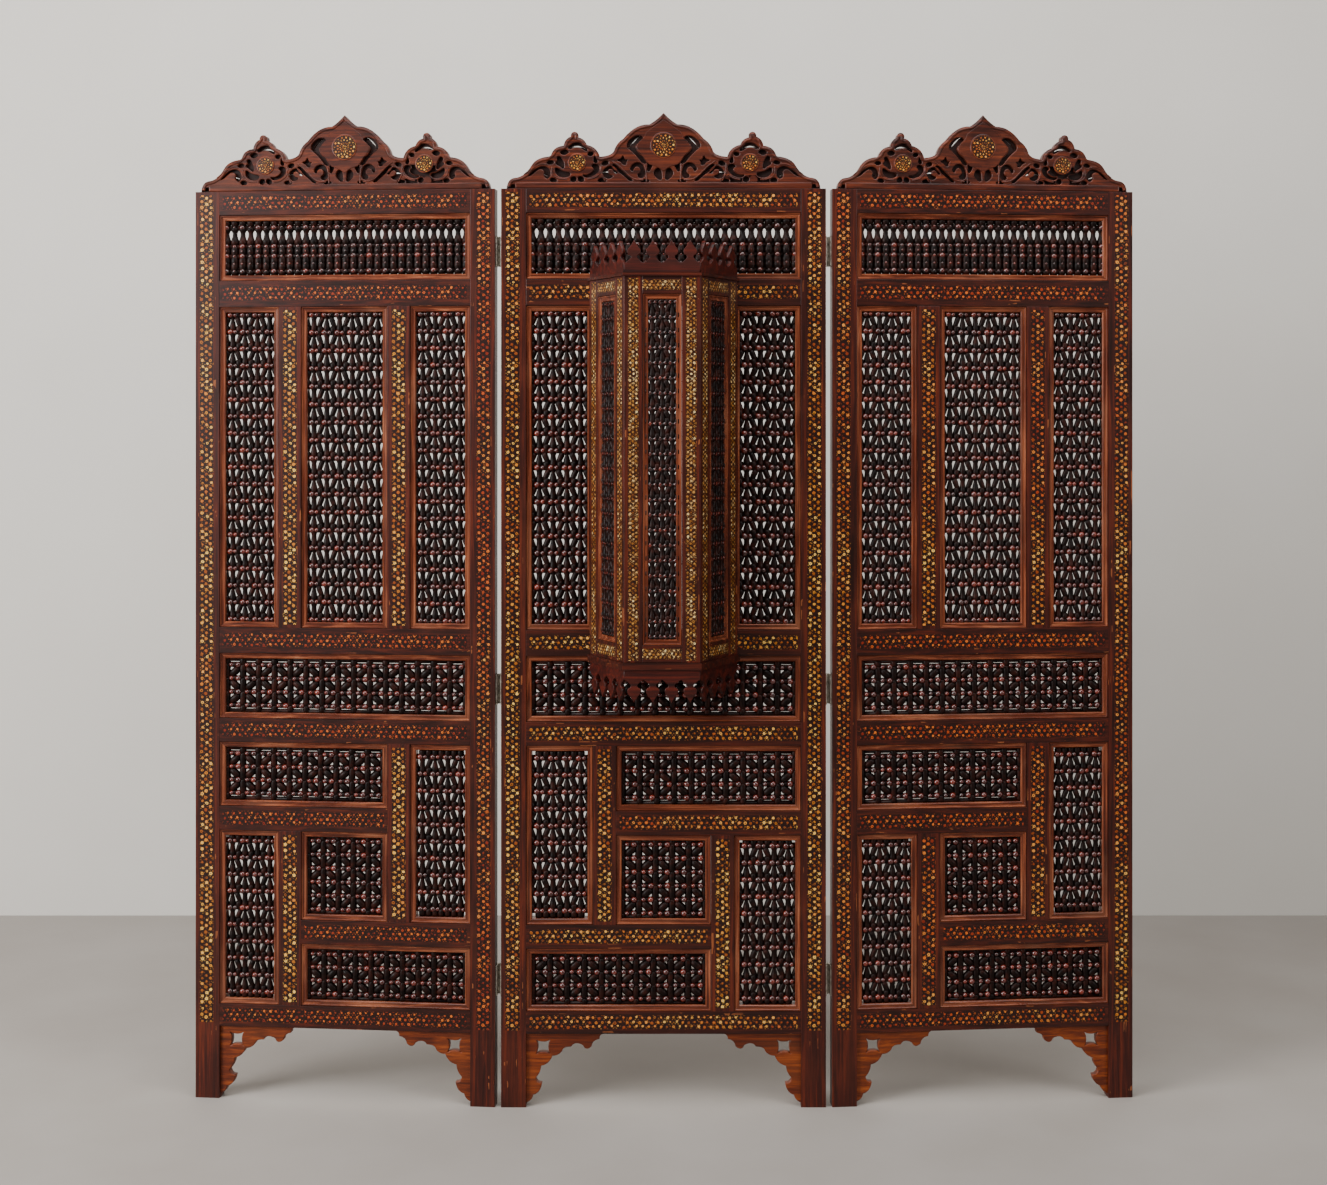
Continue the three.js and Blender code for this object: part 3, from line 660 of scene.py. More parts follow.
def wing_frame(wing):
    """One wing's frame, each stile, rail and bar its own board with its inlay band."""
    members, leg, low, high = frame_members(wing)
    boards = []
    for x_low, x_high, z_low, z_high, upright in members:
        if upright:
            middle = (x_low + x_high) / 2
            ends = (z_low + BAND_END_MARGIN, z_high - BAND_END_MARGIN)
            if z_low == 0:
                outward = 1 if middle > 0 else -1
                outer = x_high if middle > 0 else x_low
                middle = outer - outward * (STILE_BAND_INSET + BAND_WIDTH / 2)
                ends = (leg + BAND_END_MARGIN, z_high - BAND_END_MARGIN)
        else:
            middle = (z_low + z_high) / 2 + RAIL_BAND_RISE
            ends = (x_low + BAND_END_MARGIN, x_high - BAND_END_MARGIN)
        band = (middle - BAND_WIDTH / 2, middle + BAND_WIDTH / 2, *ends)
        inlay_key = f"{wing}_{'upright' if upright else 'level'}"
        if wing == "left_wing" and z_low == 0 and x_low > 0:
            inlay_key = "left_wing_fold"
        wood = WOOD["upright" if upright else "level"]
        corners = (x_low, low.y, z_low), (x_high, high.y, z_high)
        boards.append(board(*corners, upright, band, wood, INLAY[inlay_key]))
    name = wing + "_dressed_frame"
    put(join(name, boards), name, wing, wing + "_frame", slot="frame_wood")


# Turned lattice


def turned(length, profile, scale, sides=SPINDLE_SIDES):
    """A spindle turned on a lathe, from z = 0 to its length: a ring drawn up through each radius."""
    start, radius = profile[0][0] * length, profile[0][1] * MM * scale
    bpy.ops.object.select_all(action="DESELECT")
    quarter = (0, 0, math.pi / 2)
    bpy.ops.mesh.primitive_circle_add(
        vertices=sides, radius=radius, fill_type="NGON", location=(0, 0, start), rotation=quarter
    )
    spindle = bpy.context.object
    settle(spindle)
    bpy.ops.object.mode_set(mode="EDIT")
    bpy.ops.mesh.select_all(action="SELECT")
    height = start
    for share, wide in profile[1:]:
        rise = share * length - height
        height += rise
        growth = wide * MM * scale / radius
        radius *= growth
        bpy.ops.mesh.extrude_region_move(TRANSFORM_OT_translate={"value": (0, 0, rise)})
        bpy.ops.transform.resize(value=(growth, growth, 1), center_override=(0, 0, height))
    bpy.ops.mesh.select_all(action="SELECT")
    bpy.ops.mesh.normals_make_consistent(inside=False)
    bpy.ops.object.mode_set(mode="OBJECT")
    bpy.ops.object.shade_smooth()
    paint(spindle, WOOD["turned"])
    return spindle


def bead(radius, segments=8, rings=6):
    """A turned bead, slightly longer along its rail."""
    bpy.ops.object.select_all(action="DESELECT")
    bpy.ops.mesh.primitive_uv_sphere_add(
        segments=segments, ring_count=rings, radius=radius, scale=BEAD_STRETCH
    )
    piece = bpy.context.object
    settle(piece)
    bpy.ops.object.shade_smooth()
    paint(piece, WOOD["bead"])
    return piece


def laid(piece):
    """Turns an upright spindle to lie along x."""
    piece.data.transform(Matrix.Rotation(math.pi / 2, 4, "Y"))
    return piece


def leaning(run, rise, profile, scale):
    """A leaf-shaped spindle from the origin to (run, rise)."""
    piece = turned(math.hypot(run, rise), profile, scale)
    piece.data.transform(Matrix.Rotation(math.atan2(run, rise), 4, "Y"))
    return piece


def sash(width, height, depth):
    """A mitred moulding ring: its face is stepped by insets, and its light is bridged through."""
    ring = block((-width / 2, 0, 0), (width / 2, depth, height))
    only(ring)
    for face in ring.data.polygons:
        face.select = face.normal.y < -0.5
    bpy.ops.object.mode_set(mode="EDIT")
    bpy.ops.mesh.select_mode(type="FACE")
    for inwards, outwards in SASH_STEPS:
        bpy.ops.mesh.inset(thickness=inwards * MM, depth=outwards * MM, use_even_offset=True)
    bpy.ops.object.mode_set(mode="OBJECT")
    front = [f.index for f in ring.data.polygons if f.select]
    for face in ring.data.polygons:
        face.select = face.normal.y > 0.5 and face.area > width * height / 2
    bpy.ops.object.mode_set(mode="EDIT")
    bpy.ops.mesh.inset(thickness=SASH_RIM, depth=0, use_even_offset=True)
    bpy.ops.object.mode_set(mode="OBJECT")
    for index in front:
        ring.data.polygons[index].select = True
    bpy.ops.object.mode_set(mode="EDIT")
    bpy.ops.mesh.bridge_edge_loops()
    bpy.ops.object.mode_set(mode="OBJECT")
    paint(ring, WOOD["sash_upright"], WOOD["sash_level"])
    half = width / 2
    for face in ring.data.polygons:
        middle = face.center
        to_side = half - abs(middle.x)
        to_end = height / 2 - abs(middle.z - height / 2)
        face.material_index = 0 if to_side < to_end else 1
    return ring


def turned_field(pattern, width, height, depth):
    """The turned work of one panel, centred on x = 0 and z = height / 2, about y = 0. Its uprights stand
    between rows of beads in pairs, and the leaves between them lean one way and the other by turns."""
    columns, rows, pitch_x, pitch_z, scale, tall = PATTERNS[pattern]
    pitch_x *= MM
    pitch_z *= MM
    left = -(columns - 1) * pitch_x / 2
    bottom = (height - (rows - 1) * pitch_z) / 2
    forward = [min(BEAD_FORWARD, depth / 2 - radius * scale) for radius in (BEAD_RADIUS, SMALL_BEAD_RADIUS)]
    main_x, small_x = TALL_BEADS if tall else WIDE_BEADS
    main = bead(BEAD_RADIUS * scale)
    main.data.transform(shift(main_x * scale, -forward[0], 0))
    small = bead(SMALL_BEAD_RADIUS * scale, 8, 5)
    small.data.transform(shift(small_x * scale, -forward[1], 0))
    level = laid(turned(pitch_x, LINK, scale))
    foot = turned(bottom, STUB, scale)
    if tall:
        uprights = [turned(pitch_z, profile, scale) for profile in (TALL_KNOT, TALL_CONE)]
        rising = leaning(LEAF_RUN * scale, LEAF_RISE * pitch_z, TALL_LEAF, scale)
        rising.data.transform(shift(LEAF_START * scale, 0, LEAF_LOW * pitch_z))
        end_run = left + width / 2
        spares = [turned(BULB_SHARE * pitch_z, TALL_BULB, scale), laid(turned(end_run, LINK, scale))]
    else:
        uprights = [turned(pitch_z, WIDE_UPRIGHT, scale)]
        rising = leaning(pitch_x, pitch_z, WIDE_LEAF, scale)
        rising.data.transform(shift(-pitch_x / 2, 0, 0))
        spares = [laid(turned(width, ((0, EDGE_RAIL_RADIUS), (1, EDGE_RAIL_RADIUS)), scale))]
    falling = mirrored(rising)
    gaps = range(-1, columns) if tall else range(columns - 1)
    rows_made = []
    for parity in (0, 1):
        for last in (False, True):
            parts = []
            if tall:
                parts += [twin(spares[1], shift(-width / 2, 0, 0)), twin(spares[1], shift(-left, 0, 0))]
            for i in range(columns):
                place = shift(left + i * pitch_x, 0, 0)
                if tall or i > 0:
                    parts.append(twin(main, place))
                if tall or i < columns - 1:
                    parts.append(twin(small, place))
                if i < columns - 1:
                    parts.append(twin(level, place))
                if not last:
                    parts.append(twin(uprights[(i + parity) % len(uprights)], place))
            for i in () if last else gaps:
                place = shift(left + (i + 0.5) * pitch_x, 0, 0)
                parts.append(twin(falling if (i + parity) % 2 else rising, place))
                if tall:
                    parts.append(twin(spares[0], place))
            rows_made.append(join("row", parts))
    field = []
    for j in range(rows):
        row = rows_made[2 * (j % 2) + (1 if j == rows - 1 else 0)]
        field.append(twin(row, shift(0, 0, bottom + j * pitch_z)))
    for i in range(columns):
        x = left + i * pitch_x
        middles = (x, x + pitch_x / 2) if tall and i < columns - 1 else (x,)
        for middle in middles:
            field.append(twin(foot, shift(middle, 0, 0)))
            field.append(twin(foot, shift(middle, 0, height - bottom)))
    if not tall:
        for z in (EDGE_RAIL_INSET, height - EDGE_RAIL_INSET):
            field.append(twin(spares[0], shift(-width / 2, 0, z)))
    for spare in rows_made + uprights + spares + [main, small, level, rising, falling, foot]:
        bpy.data.objects.remove(spare)
    whole = join("field", field)
    flat = min(1.0, depth / 2 / (WIDEST_RADIUS * MM * scale))
    whole.data.transform(Matrix.Scale(flat, 4, (0, 1, 0)))
    return whole


def frieze_field(width, height):
    """The top panel's turned work: a gallery of balusters between bead rows, and close work below."""
    rows = [share * height for share in FRIEZE_ROWS]
    step = width / (2 * FRIEZE_COLUMNS)
    scale = step / FRIEZE_STEP
    main = bead(BEAD_RADIUS)
    small = bead(SMALL_BEAD_RADIUS, 8, 5)
    tiny = bead(TINY_BEAD_RADIUS, 6, 4)
    baluster = turned(rows[0] - rows[1], BALUSTER, scale, 8)
    upright = turned(rows[1] - rows[2], BALUSTER_FOOT, scale)
    drop = turned(rows[2] - rows[3], BALUSTER_DROP, scale)
    rail = laid(turned(width, ((0, FRIEZE_RAIL_RADIUS), (1, FRIEZE_RAIL_RADIUS)), 1.0))
    cap = turned(height - rows[0], BALUSTER_CAP, scale)
    foot = turned(rows[3], BALUSTER_CAP, scale)
    parts = [twin(rail, shift(-width / 2, 0, z)) for z in rows]
    for i in range(2 * FRIEZE_COLUMNS + 1):
        x = i * step - width / 2
        knob = main if i % 2 == 0 else small
        for z in rows:
            parts.append(twin(knob, shift(x, -BEAD_FORWARD, z)))
        for z in (rows[1] + rows[2], rows[2] + rows[3]):
            parts.append(twin(tiny, shift(x, -BEAD_RADIUS, z / 2)))
        parts.append(twin(baluster, shift(x, 0, rows[1])))
        parts.append(twin(upright, shift(x, 0, rows[2])))
        parts.append(twin(cap, shift(x, 0, rows[0])))
        parts.append(twin(foot, shift(x, 0, 0)))
        parts.append(twin(drop, shift(x, 0, rows[3])))
    for spare in (main, small, tiny, baluster, upright, drop, rail, cap, foot):
        bpy.data.objects.remove(spare)
    return join("field", parts)


def dressed_panel(name, width, height, depth, pattern):
    """A sash with its turned work, standing on z = 0 with its front at y = 0."""
    light_width = width - 2 * SASH_RIM
    light_height = height - 2 * SASH_RIM
    if pattern == "frieze":
        field = frieze_field(light_width, light_height)
    else:
        field = turned_field(pattern, light_width, light_height, depth)
    field.data.transform(shift(0, depth / 2, SASH_RIM))
    return join(name, [sash(width, height, depth), field])


PANEL_PATTERNS = {
    "frieze_lattice": "frieze",
    "upper_left_lattice": "upper",
    "upper_middle_lattice": "upper_middle",
    "upper_right_lattice": "upper",
    "waist_lattice": "waist",
    "lower_top_lattice": "lower_wide",
    "lower_tall_lattice": "lower_tall",
    "lower_middle_lattice": "lower_middle",
    "lower_short_lattice": "lower_tall",
    "lower_bottom_lattice": "lower_wide",
}
made_panels = {}


def wing_panels(wing):
    """Every lattice panel of one wing. Panels of one size are modelled once and copied."""
    kind = "centre" if wing == "centre_wing" else "side"
    for panel, pattern in PANEL_PATTERNS.items():
        node = f"{wing}_{panel}"
        if node not in frame["nodes"]:
            continue
        low, high = corners_in(node, PLACES[wing])
        width, depth, height = high - low
        key = (kind, pattern, round(width, 4), round(height, 4))
        if key not in made_panels:
            field_pattern = pattern if pattern == "frieze" else f"{kind}_{pattern}"
            made_panels[key] = dressed_panel("pattern_panel", width, height, depth, field_pattern)
        piece = twin(made_panels[key], shift((low.x + high.x) / 2, low.y, low.z))
        put(piece, f"{wing}_turned_{panel}", wing, node, slot="lattice_wood")


# Crests and brackets

CREST_OUTLINE = (
    (0.045, 0.9, 0.089, 0.851),
    (0.178, 0.862, 0.255, 0.66),
    (0.3, 0.6, 0.314, 0.495),
    (0.335, 0.425, 0.411, 0.418),
    (0.425, 0.55, 0.494, 0.58),
    (0.51, 0.668, 0.55, 0.678),
)
CREST_OUTLINE_END = (
    (0.628, 0.668, 0.636, 0.566),
    (0.705, 0.56, 0.719, 0.424),
    (0.81, 0.415, 0.84, 0.309),
    (0.885, 0.145, 0.955, 0.135),
    (0.995, 0.12, 1, 0),
)
CREST_PIERCINGS = (
    (0.14, 0.72, 0.225, 0.54, 4, 4),
    (0.28, 0.17, 0.4, 0.21, 6, 12),
    (0.5, 0.53, 0.61, 0.53, 5, 11),
    (0.74, 0.17, 0.86, 0.15, 5, 12),
)
CREST_BUD = (0.569, 0.678, 6.5)
BUD_LIFT = 0.7
BUD_TUCK = 0.4
BUD_STEPS = 8
CREST_RELIEF = 1.5 * MM
CREST_CARVING_DEPTH = 9 * MM
CREST_STEPS = 7
LEAF_EASING = 1.4 * MM
PEAK_EASING = 2.2 * MM
RIM_INSET = 3.6 * MM
RIM_WIDTH = 3.4 * MM
RIM_DEPTH = 4 * MM
VEIN_DEPTH = 3 * MM
STROKE_SETBACK = 0.4 * MM
PLATE_THICKNESS = 4 * MM
PLATE_EASING = 0.8 * MM
PLATE_SETBACK = 0.6 * MM
FOOT_SHARE = 0.95
FOOT_HEIGHT = 13 * MM
FOOT_SETBACK = 0.2 * MM
FOOT_BACK_GAP = 1 * MM
FOOT_EASING = 2.4 * MM
ROSETTE_LINE = 1.2 * MM
ROSETTE_THICKNESS = 3 * MM

# A crest's rosettes: inlay, place as shares of its half width and its height, radius and setback in
# millimetres
CREST_ROSETTES = (
    ("large_rosette", 0.0, 0.57, 27, 0.1),
    ("small_rosette", 0.553, 0.342, 19, 0.4),
    ("small_rosette", -0.553, 0.342, 19, 0.4),
)

# The hollows between the carved leaves of a crest's right half, as points in millimetres from its middle
# and its foot on a crest of the traced half width
CREST_TRACED_HALF = 278
CREST_HOLLOWS = (
    ((37, 103), (47, 106), (57, 101), (64, 92), (65, 84), (60, 78), (52, 70), (44, 60), (37, 51), (30, 51),
     (34, 59), (38, 66), (43, 70), (49, 79), (50, 84), (45, 91), (37, 96)),
    ((21, 54), (28, 54), (29, 47), (27, 34), (22, 40)),
    ((34, 24), (34, 40), (39, 50), (49, 52), (57, 46), (59, 38), (55, 35), (52, 41), (47, 44), (42, 40),
     (41, 33), (46, 28), (44, 22)),
    ((64, 58), (68, 58), (72, 66), (76, 60), (82, 57), (76, 53), (72, 48), (67, 48), (66, 53)),
    ((85, 48), (91, 48), (88, 41), (77, 31), (66, 21), (61, 16), (55, 16), (58, 21), (68, 32), (78, 41)),
    ((83, 30), (86, 40), (93, 45), (101, 43), (107, 36), (107, 27), (102, 21), (94, 21), (90, 26), (95, 28),
     (99, 32), (98, 38), (91, 38), (87, 32)),
    ((136, 75), (139, 85), (147, 91), (156, 92), (166, 87), (170, 80), (163, 80), (157, 83), (149, 82),
     (143, 78)),
    ((124, 71), (132, 73), (135, 68), (130, 65), (126, 67)),
    ((121, 66), (124, 60), (123, 52), (118, 52), (118, 58)),
    ((116, 47), (125, 49), (128, 44), (124, 39), (128, 32), (136, 28), (144, 27), (140, 23), (128, 24),
     (118, 31), (114, 40)),
    ((168, 74), (184, 74), (182, 69), (172, 69)),
    ((185, 65), (190, 62), (189, 56), (192, 52), (184, 44), (178, 40), (177, 48), (181, 60)),
    ((166, 31), (176, 34), (184, 38), (192, 42), (193, 37), (190, 28), (182, 23), (172, 23), (166, 27)),
    ((101, 16), (109, 21), (118, 16)),
    ((141, 16), (149, 25), (152, 16)),
    ((155, 16), (158, 25), (166, 16)),
    ((189, 16), (198, 22), (203, 16)),
    ((97, 53), (110, 52), (108, 46)),
    ((194, 53), (209, 52), (204, 48)),
    ((203, 22), (202, 36), (207, 43), (215, 45), (225, 41), (236, 32), (245, 24), (238, 25), (227, 34),
     (219, 39), (212, 34), (213, 27), (208, 20)),
    ((9, 42), (17, 33), (13, 22), (4, 18), (3, 26)),
    ((24, 16), (33, 19), (42, 16)),
)
CREST_PLATE = (
    (12, 128), (30, 113), (35, 101), (43, 93), (48, 83), (42, 73), (36, 66), (32, 58), (25, 49), (12, 45),
)
CREST_PLATE_TIP = (0, 36)
CREST_PLATE_PEAK = (0, 137)

# Veins that stand up along the carved leaves, and each one's half width
CREST_VEINS = (
    (((30, 14), (31, 34), (33, 46)), 1.6),
    (((92, 55), (80, 46), (68, 33), (54, 20), (36, 17)), 1.8),
    (((110, 46), (111, 32), (104, 16)), 1.6),
    (((136, 18), (122, 22), (112, 34), (112, 48)), 1.6),
    (((172, 18), (186, 20), (197, 28), (198, 44)), 1.6),
    (((206, 48), (218, 49), (232, 41), (248, 28)), 1.6),
)


def quadratic(start, lobes, steps):
    """Points along a run of quadratic curves, each given by its control point and its end."""
    points = [start]
    for control_x, control_z, end_x, end_z in lobes:
        from_x, from_z = points[-1]
        for k in range(1, steps + 1):
            t = k / steps
            a, b, c = (1 - t) ** 2, 2 * t * (1 - t), t * t
            points.append((a * from_x + b * control_x + c * end_x, a * from_z + b * control_z + c * end_z))
    return points


def scaled(lobes, width, height):
    """Lobes given as shares of a width and a height, in metres."""
    return [(a * width, b * height, c * width, d * height) for a, b, c, d in lobes]


def polar(centre, reach, angle):
    """The point at a reach and an angle from a centre."""
    return centre[0] + reach * math.cos(angle), centre[1] + reach * math.sin(angle)


def crest_outline(half, height):
    """The crest's edge from its peak down its right side, in metres."""
    points = quadratic((0, height), scaled(CREST_OUTLINE, half, height), CREST_STEPS)
    radius = CREST_BUD[2] * MM
    centre = CREST_BUD[0] * half, CREST_BUD[1] * height + BUD_LIFT * radius
    for k in range(BUD_STEPS + 1):
        angle = math.pi + BUD_TUCK - k * (math.pi + 2 * BUD_TUCK) / BUD_STEPS
        points.append(polar(centre, radius, angle))
    points += quadratic(points[-1], scaled(CREST_OUTLINE_END, half, height), CREST_STEPS)[1:]
    return points


def leaf_outline(x0, z0, x1, z1, wide, bend):
    """A leaf-shaped hole from one point to another, bowed to one side."""
    length = math.hypot(x1 - x0, z1 - z0)
    nx, nz = -(z1 - z0) / length, (x1 - x0) / length
    mx, mz = (x0 + x1) / 2, (z0 + z1) / 2
    there = quadratic((x0, z0), [(mx + nx * (bend + wide), mz + nz * (bend + wide), x1, z1)], 6)
    back = quadratic((x1, z1), [(mx + nx * (bend - wide), mz + nz * (bend - wide), x0, z0)], 6)
    return there[:-1] + back[:-1]


def draw_smooth(curve, points, closed):
    """Adds a smooth line through 3-D points to a curve."""
    spline = curve.splines.new("BEZIER")
    spline.bezier_points.add(len(points) - 1)
    for knot, place in zip(spline.bezier_points, points):
        knot.co = place
        knot.handle_left_type = "AUTO"
        knot.handle_right_type = "AUTO"
    spline.use_cyclic_u = closed


def meshed(curve, matrix, material):
    """A mesh object of a finished curve, moved by a matrix."""
    piece = bpy.data.objects.new(curve.name, curve)
    bpy.context.collection.objects.link(piece)
    only(piece)
    bpy.ops.object.convert(target="MESH")
    piece = bpy.context.object
    piece.data.transform(matrix)
    paint(piece, material)
    return piece


def sawn(name, outline, holes, thickness, easing, material):
    """A board sawn to an outline with rounded holes, its edges eased, its front at y = 0."""
    curve = bpy.data.curves.new(name, "CURVE")
    curve.dimensions = "2D"
    curve.fill_mode = "BOTH"
    curve.extrude = thickness / 2 - easing
    curve.bevel_depth = easing
    curve.bevel_resolution = 1
    curve.resolution_u = 3
    spline = curve.splines.new("POLY")
    spline.points.add(len(outline) - 1)
    for point, (x, z) in zip(spline.points, outline):
        point.co = (x, z, 0, 1)
    spline.use_cyclic_u = True
    for hole in holes:
        draw_smooth(curve, [(x, z, 0) for x, z in hole], True)
    return meshed(curve, shift(0, thickness / 2, 0) @ Matrix.Rotation(math.pi / 2, 4, "X"), material)


def carved_stroke(points, wide, depth, material):
    """A rounded stroke of carving through points in x and z, its front at y = 0 and cut depth deep."""
    curve = bpy.data.curves.new("stroke", "CURVE")
    curve.dimensions = "3D"
    curve.bevel_depth = wide
    curve.bevel_resolution = 1
    curve.resolution_u = 3
    curve.use_fill_caps = True
    draw_smooth(curve, [(x, 0, z) for x, z in points], False)
    flat = Matrix.Scale(depth / 2 / wide, 4, (0, 1, 0))
    piece = meshed(curve, shift(0, depth / 2, 0) @ flat, material)
    bpy.ops.object.shade_smooth()
    return piece


def mirrored(piece):
    """A copy across x = 0, with its faces turned out again."""
    copy = twin(piece, Matrix.Scale(-1, 4, (1, 0, 0)))
    copy.data.flip_normals()
    return copy


def rosette(radius, height, inlaid):
    """A raised disc with a rounded rim, its face inlaid inside a lighter ring, its front at y = 0."""
    profile = ((0.0, 0.92), (0.5, 1.0), (0.85, 0.99), (0.97, 0.93), (1.0, 0.86))
    piece = turned(height, tuple((share, wide * radius / MM) for share, wide in profile), 1.0, 28)
    piece.data.transform(shift(0, height, 0) @ Matrix.Rotation(math.pi / 2, 4, "X"))
    only(piece)
    for face in piece.data.polygons:
        face.select = face.normal.y < -0.99
    bpy.ops.object.mode_set(mode="EDIT")
    bpy.ops.mesh.inset(thickness=ROSETTE_LINE, depth=0, use_even_offset=True)
    bpy.ops.object.mode_set(mode="OBJECT")
    paint(piece, WOOD["carving"], inlaid, WOOD["bracket"])
    for face in piece.data.polygons:
        if face.normal.y < -0.99:
            face.material_index = 1 if face.select else 2
    map_band(piece, 2, 0)
    return piece


def grown(points, distance):
    """A closed outline with every point pushed outwards."""
    pairs = list(zip(points, points[1:] + points[:1]))
    turn = math.copysign(1, sum(a[0] * b[1] - b[0] * a[1] for a, b in pairs))
    moved = []
    for k, (x, z) in enumerate(points):
        behind, ahead = points[k - 1], points[(k + 1) % len(points)]
        dx, dz = ahead[0] - behind[0], ahead[1] - behind[1]
        length = math.hypot(dx, dz)
        moved.append((x + turn * dz / length * distance, z - turn * dx / length * distance))
    return moved


def traced(points, widen):
    """Traced points in metres, their distance from the middle widened to a crest's own width."""
    return [(x * widen, z * MM) for x, z in points]


def mirror_points(points):
    """Points of the left half from points of the right half, turned the same way round."""
    return [(-x, z) for x, z in reversed(points)]


def crest(wing):
    """A wing's crest: leaves and scrolls carved in front of a cut-back ground, whose front is painted
    near-black as painted shade in the hollows.
    """
    node = wing + "_crest"
    low, high = corners_in(node, PLACES[wing])
    half = (high.x - low.x) / 2
    height = high.z - low.z
    deep = high.y - low.y
    carving = WOOD["carving"]
    widen = half / CREST_TRACED_HALF
    side = crest_outline(half, height - PEAK_EASING)
    outline = side + mirror_points(side)[:-1]
    piercings = []
    for x0, z0, x1, z1, wide, bend in CREST_PIERCINGS:
        leaf = leaf_outline(x0 * half, z0 * height, x1 * half, z1 * height, wide * MM, bend * MM)
        piercings += [leaf, mirror_points(leaf)]
    hollows = []
    for points in CREST_HOLLOWS:
        hollow = grown(traced(points, widen), LEAF_EASING)
        hollows += [hollow, mirror_points(hollow)]
    ground = sawn("ground", outline, piercings, deep - CREST_CARVING_DEPTH, PLATE_EASING, carving)
    ground.data.transform(shift(0, CREST_CARVING_DEPTH, 0))
    # The ground's front, seen through the hollows between the leaves, is painted near-black: painted shade
    paint(ground, carving, WOOD["painted_recess_shade"])
    for face in ground.data.polygons:
        face.material_index = 1 if face.normal.y < -0.9 else 0
    leaves = sawn("leaves", outline, hollows, CREST_CARVING_DEPTH - CREST_RELIEF, LEAF_EASING, carving)
    leaves.data.transform(shift(0, CREST_RELIEF, 0))
    parts = [ground, leaves]
    rim = []
    for k in range(0, len(side), 2):
        x, z = side[k]
        ahead = side[min(k + 1, len(side) - 1)]
        behind = side[max(k - 1, 0)]
        dx, dz = ahead[0] - behind[0], ahead[1] - behind[1]
        length = math.hypot(dx, dz)
        rim.append((max(0.0, x + dz / length * RIM_INSET), max(RIM_INSET, z - dx / length * RIM_INSET)))
    strokes = [(rim, RIM_WIDTH, RIM_DEPTH)]
    strokes += [(traced(points, widen), wide * MM, VEIN_DEPTH) for points, wide in CREST_VEINS]
    for points, wide, depth in strokes:
        stroke = carved_stroke(points, wide, depth, carving)
        stroke.data.transform(shift(0, STROKE_SETBACK, 0))
        parts += [stroke, mirrored(stroke)]
    plate_side = traced(CREST_PLATE, widen)
    peak, tip = traced((CREST_PLATE_PEAK, CREST_PLATE_TIP), widen)
    plate_outline = [peak, *plate_side, tip]
    plate_outline += mirror_points(plate_side)
    plate = sawn("plate", plate_outline, [], PLATE_THICKNESS, PLATE_EASING, carving)
    plate.data.transform(shift(0, PLATE_SETBACK, 0))
    parts.append(plate)
    foot_half = half * FOOT_SHARE
    foot = block((-foot_half, FOOT_SETBACK, 0), (foot_half, deep - FOOT_BACK_GAP, FOOT_HEIGHT))
    paint(foot, carving)
    ease(foot, FOOT_EASING, 3)
    parts.append(foot)
    for size, out, up, radius, setback in CREST_ROSETTES:
        disc = rosette(radius * MM, ROSETTE_THICKNESS, INLAY[size])
        disc.data.transform(shift(out * half, setback * MM, up * height))
        parts.append(disc)
    whole = join(wing + "_carved_crest", parts)
    whole.data.transform(shift((low.x + high.x) / 2, low.y, low.z))
    put(whole, wing + "_carved_crest", wing, node, slot="carved_wood")


BRACKET_EDGE = (
    (0.93, 0.01, 0.93, 0.08),
    (0.84, 0.1, 0.83, 0.19),
    (0.76, 0.26, 0.73, 0.17),
    (0.62, 0.1, 0.57, 0.19),
    (0.46, 0.19, 0.45, 0.26),
    (0.4, 0.33, 0.33, 0.32),
    (0.29, 0.45, 0.18, 0.47),
    (0.18, 0.57, 0.11, 0.65),
    (0.12, 0.74, 0.19, 0.74),
    (0.17, 0.87, 0.08, 0.89),
    (0.07, 0.97, 0, 1),
)
BRACKET_STAR = (0.215, 0.2, 0.095)
BRACKET_STAR_WAIST = 0.55
BRACKET_EASING = 1.2 * MM


def bracket(wing, side):
    """A fretted bracket board between a leg and the bottom rail, drawn from its square corner."""
    word = "left" if side < 0 else "right"
    node = f"{wing}_{word}_bracket"
    low, high = corners_in(node, PLACES[wing])
    length, thickness, drop = high - low
    outline = [(0, 0)] + quadratic((length, 0), scaled(BRACKET_EDGE, length, -drop), 6)
    centre = BRACKET_STAR[0] * length, -BRACKET_STAR[1] * drop
    point_reach = math.sqrt(2) * BRACKET_STAR[2] * length
    waist_reach = BRACKET_STAR_WAIST * BRACKET_STAR[2] * length
    star = []
    for quarter in range(4):
        angle = math.pi / 4 + quarter * math.pi / 2
        waist = polar(centre, waist_reach, angle + math.pi / 4)
        end = polar(centre, point_reach, angle + math.pi / 2)
        star += quadratic(polar(centre, point_reach, angle), [(*waist, *end)], 5)[:-1]
    piece = sawn(node, outline, [star], thickness, BRACKET_EASING, WOOD["bracket"])
    if side > 0:
        spare = piece
        piece = mirrored(spare)
        bpy.data.objects.remove(spare)
    corner_x = low.x if side < 0 else high.x
    piece.data.transform(shift(corner_x, low.y, high.z))
    put(piece, f"{wing}_{word}_fretted_bracket", wing, node, slot="carved_wood")


# The bay

FACE_GAP = 0.15 * MM
BAY_BAND_MARGIN = 4 * MM
BAY_RAIL_EDGE = 10 * MM
BAY_CORNER = 2 * MM


def face_matrix(face):
    """From a bay face's own coordinates to the centre wing's. x runs along the face, and its outer
    surface is at y = 0."""
    low, high = corners_in("bay_front_frame", PLACES["centre_wing"])
    back = corners_in("bay_right_frame", PLACES["centre_wing"])[1].y
    side = (high.x - low.x) + 2 * FACE_GAP / math.sin(math.pi / 3)
    depth = back - low.y
    if face == 0:
        return shift(0, low.y, 0)
    middle = shift(face * 0.75 * side, low.y + depth / 2, 0)
    return middle @ Matrix.Rotation(face * math.pi / 3, 4, "Z")


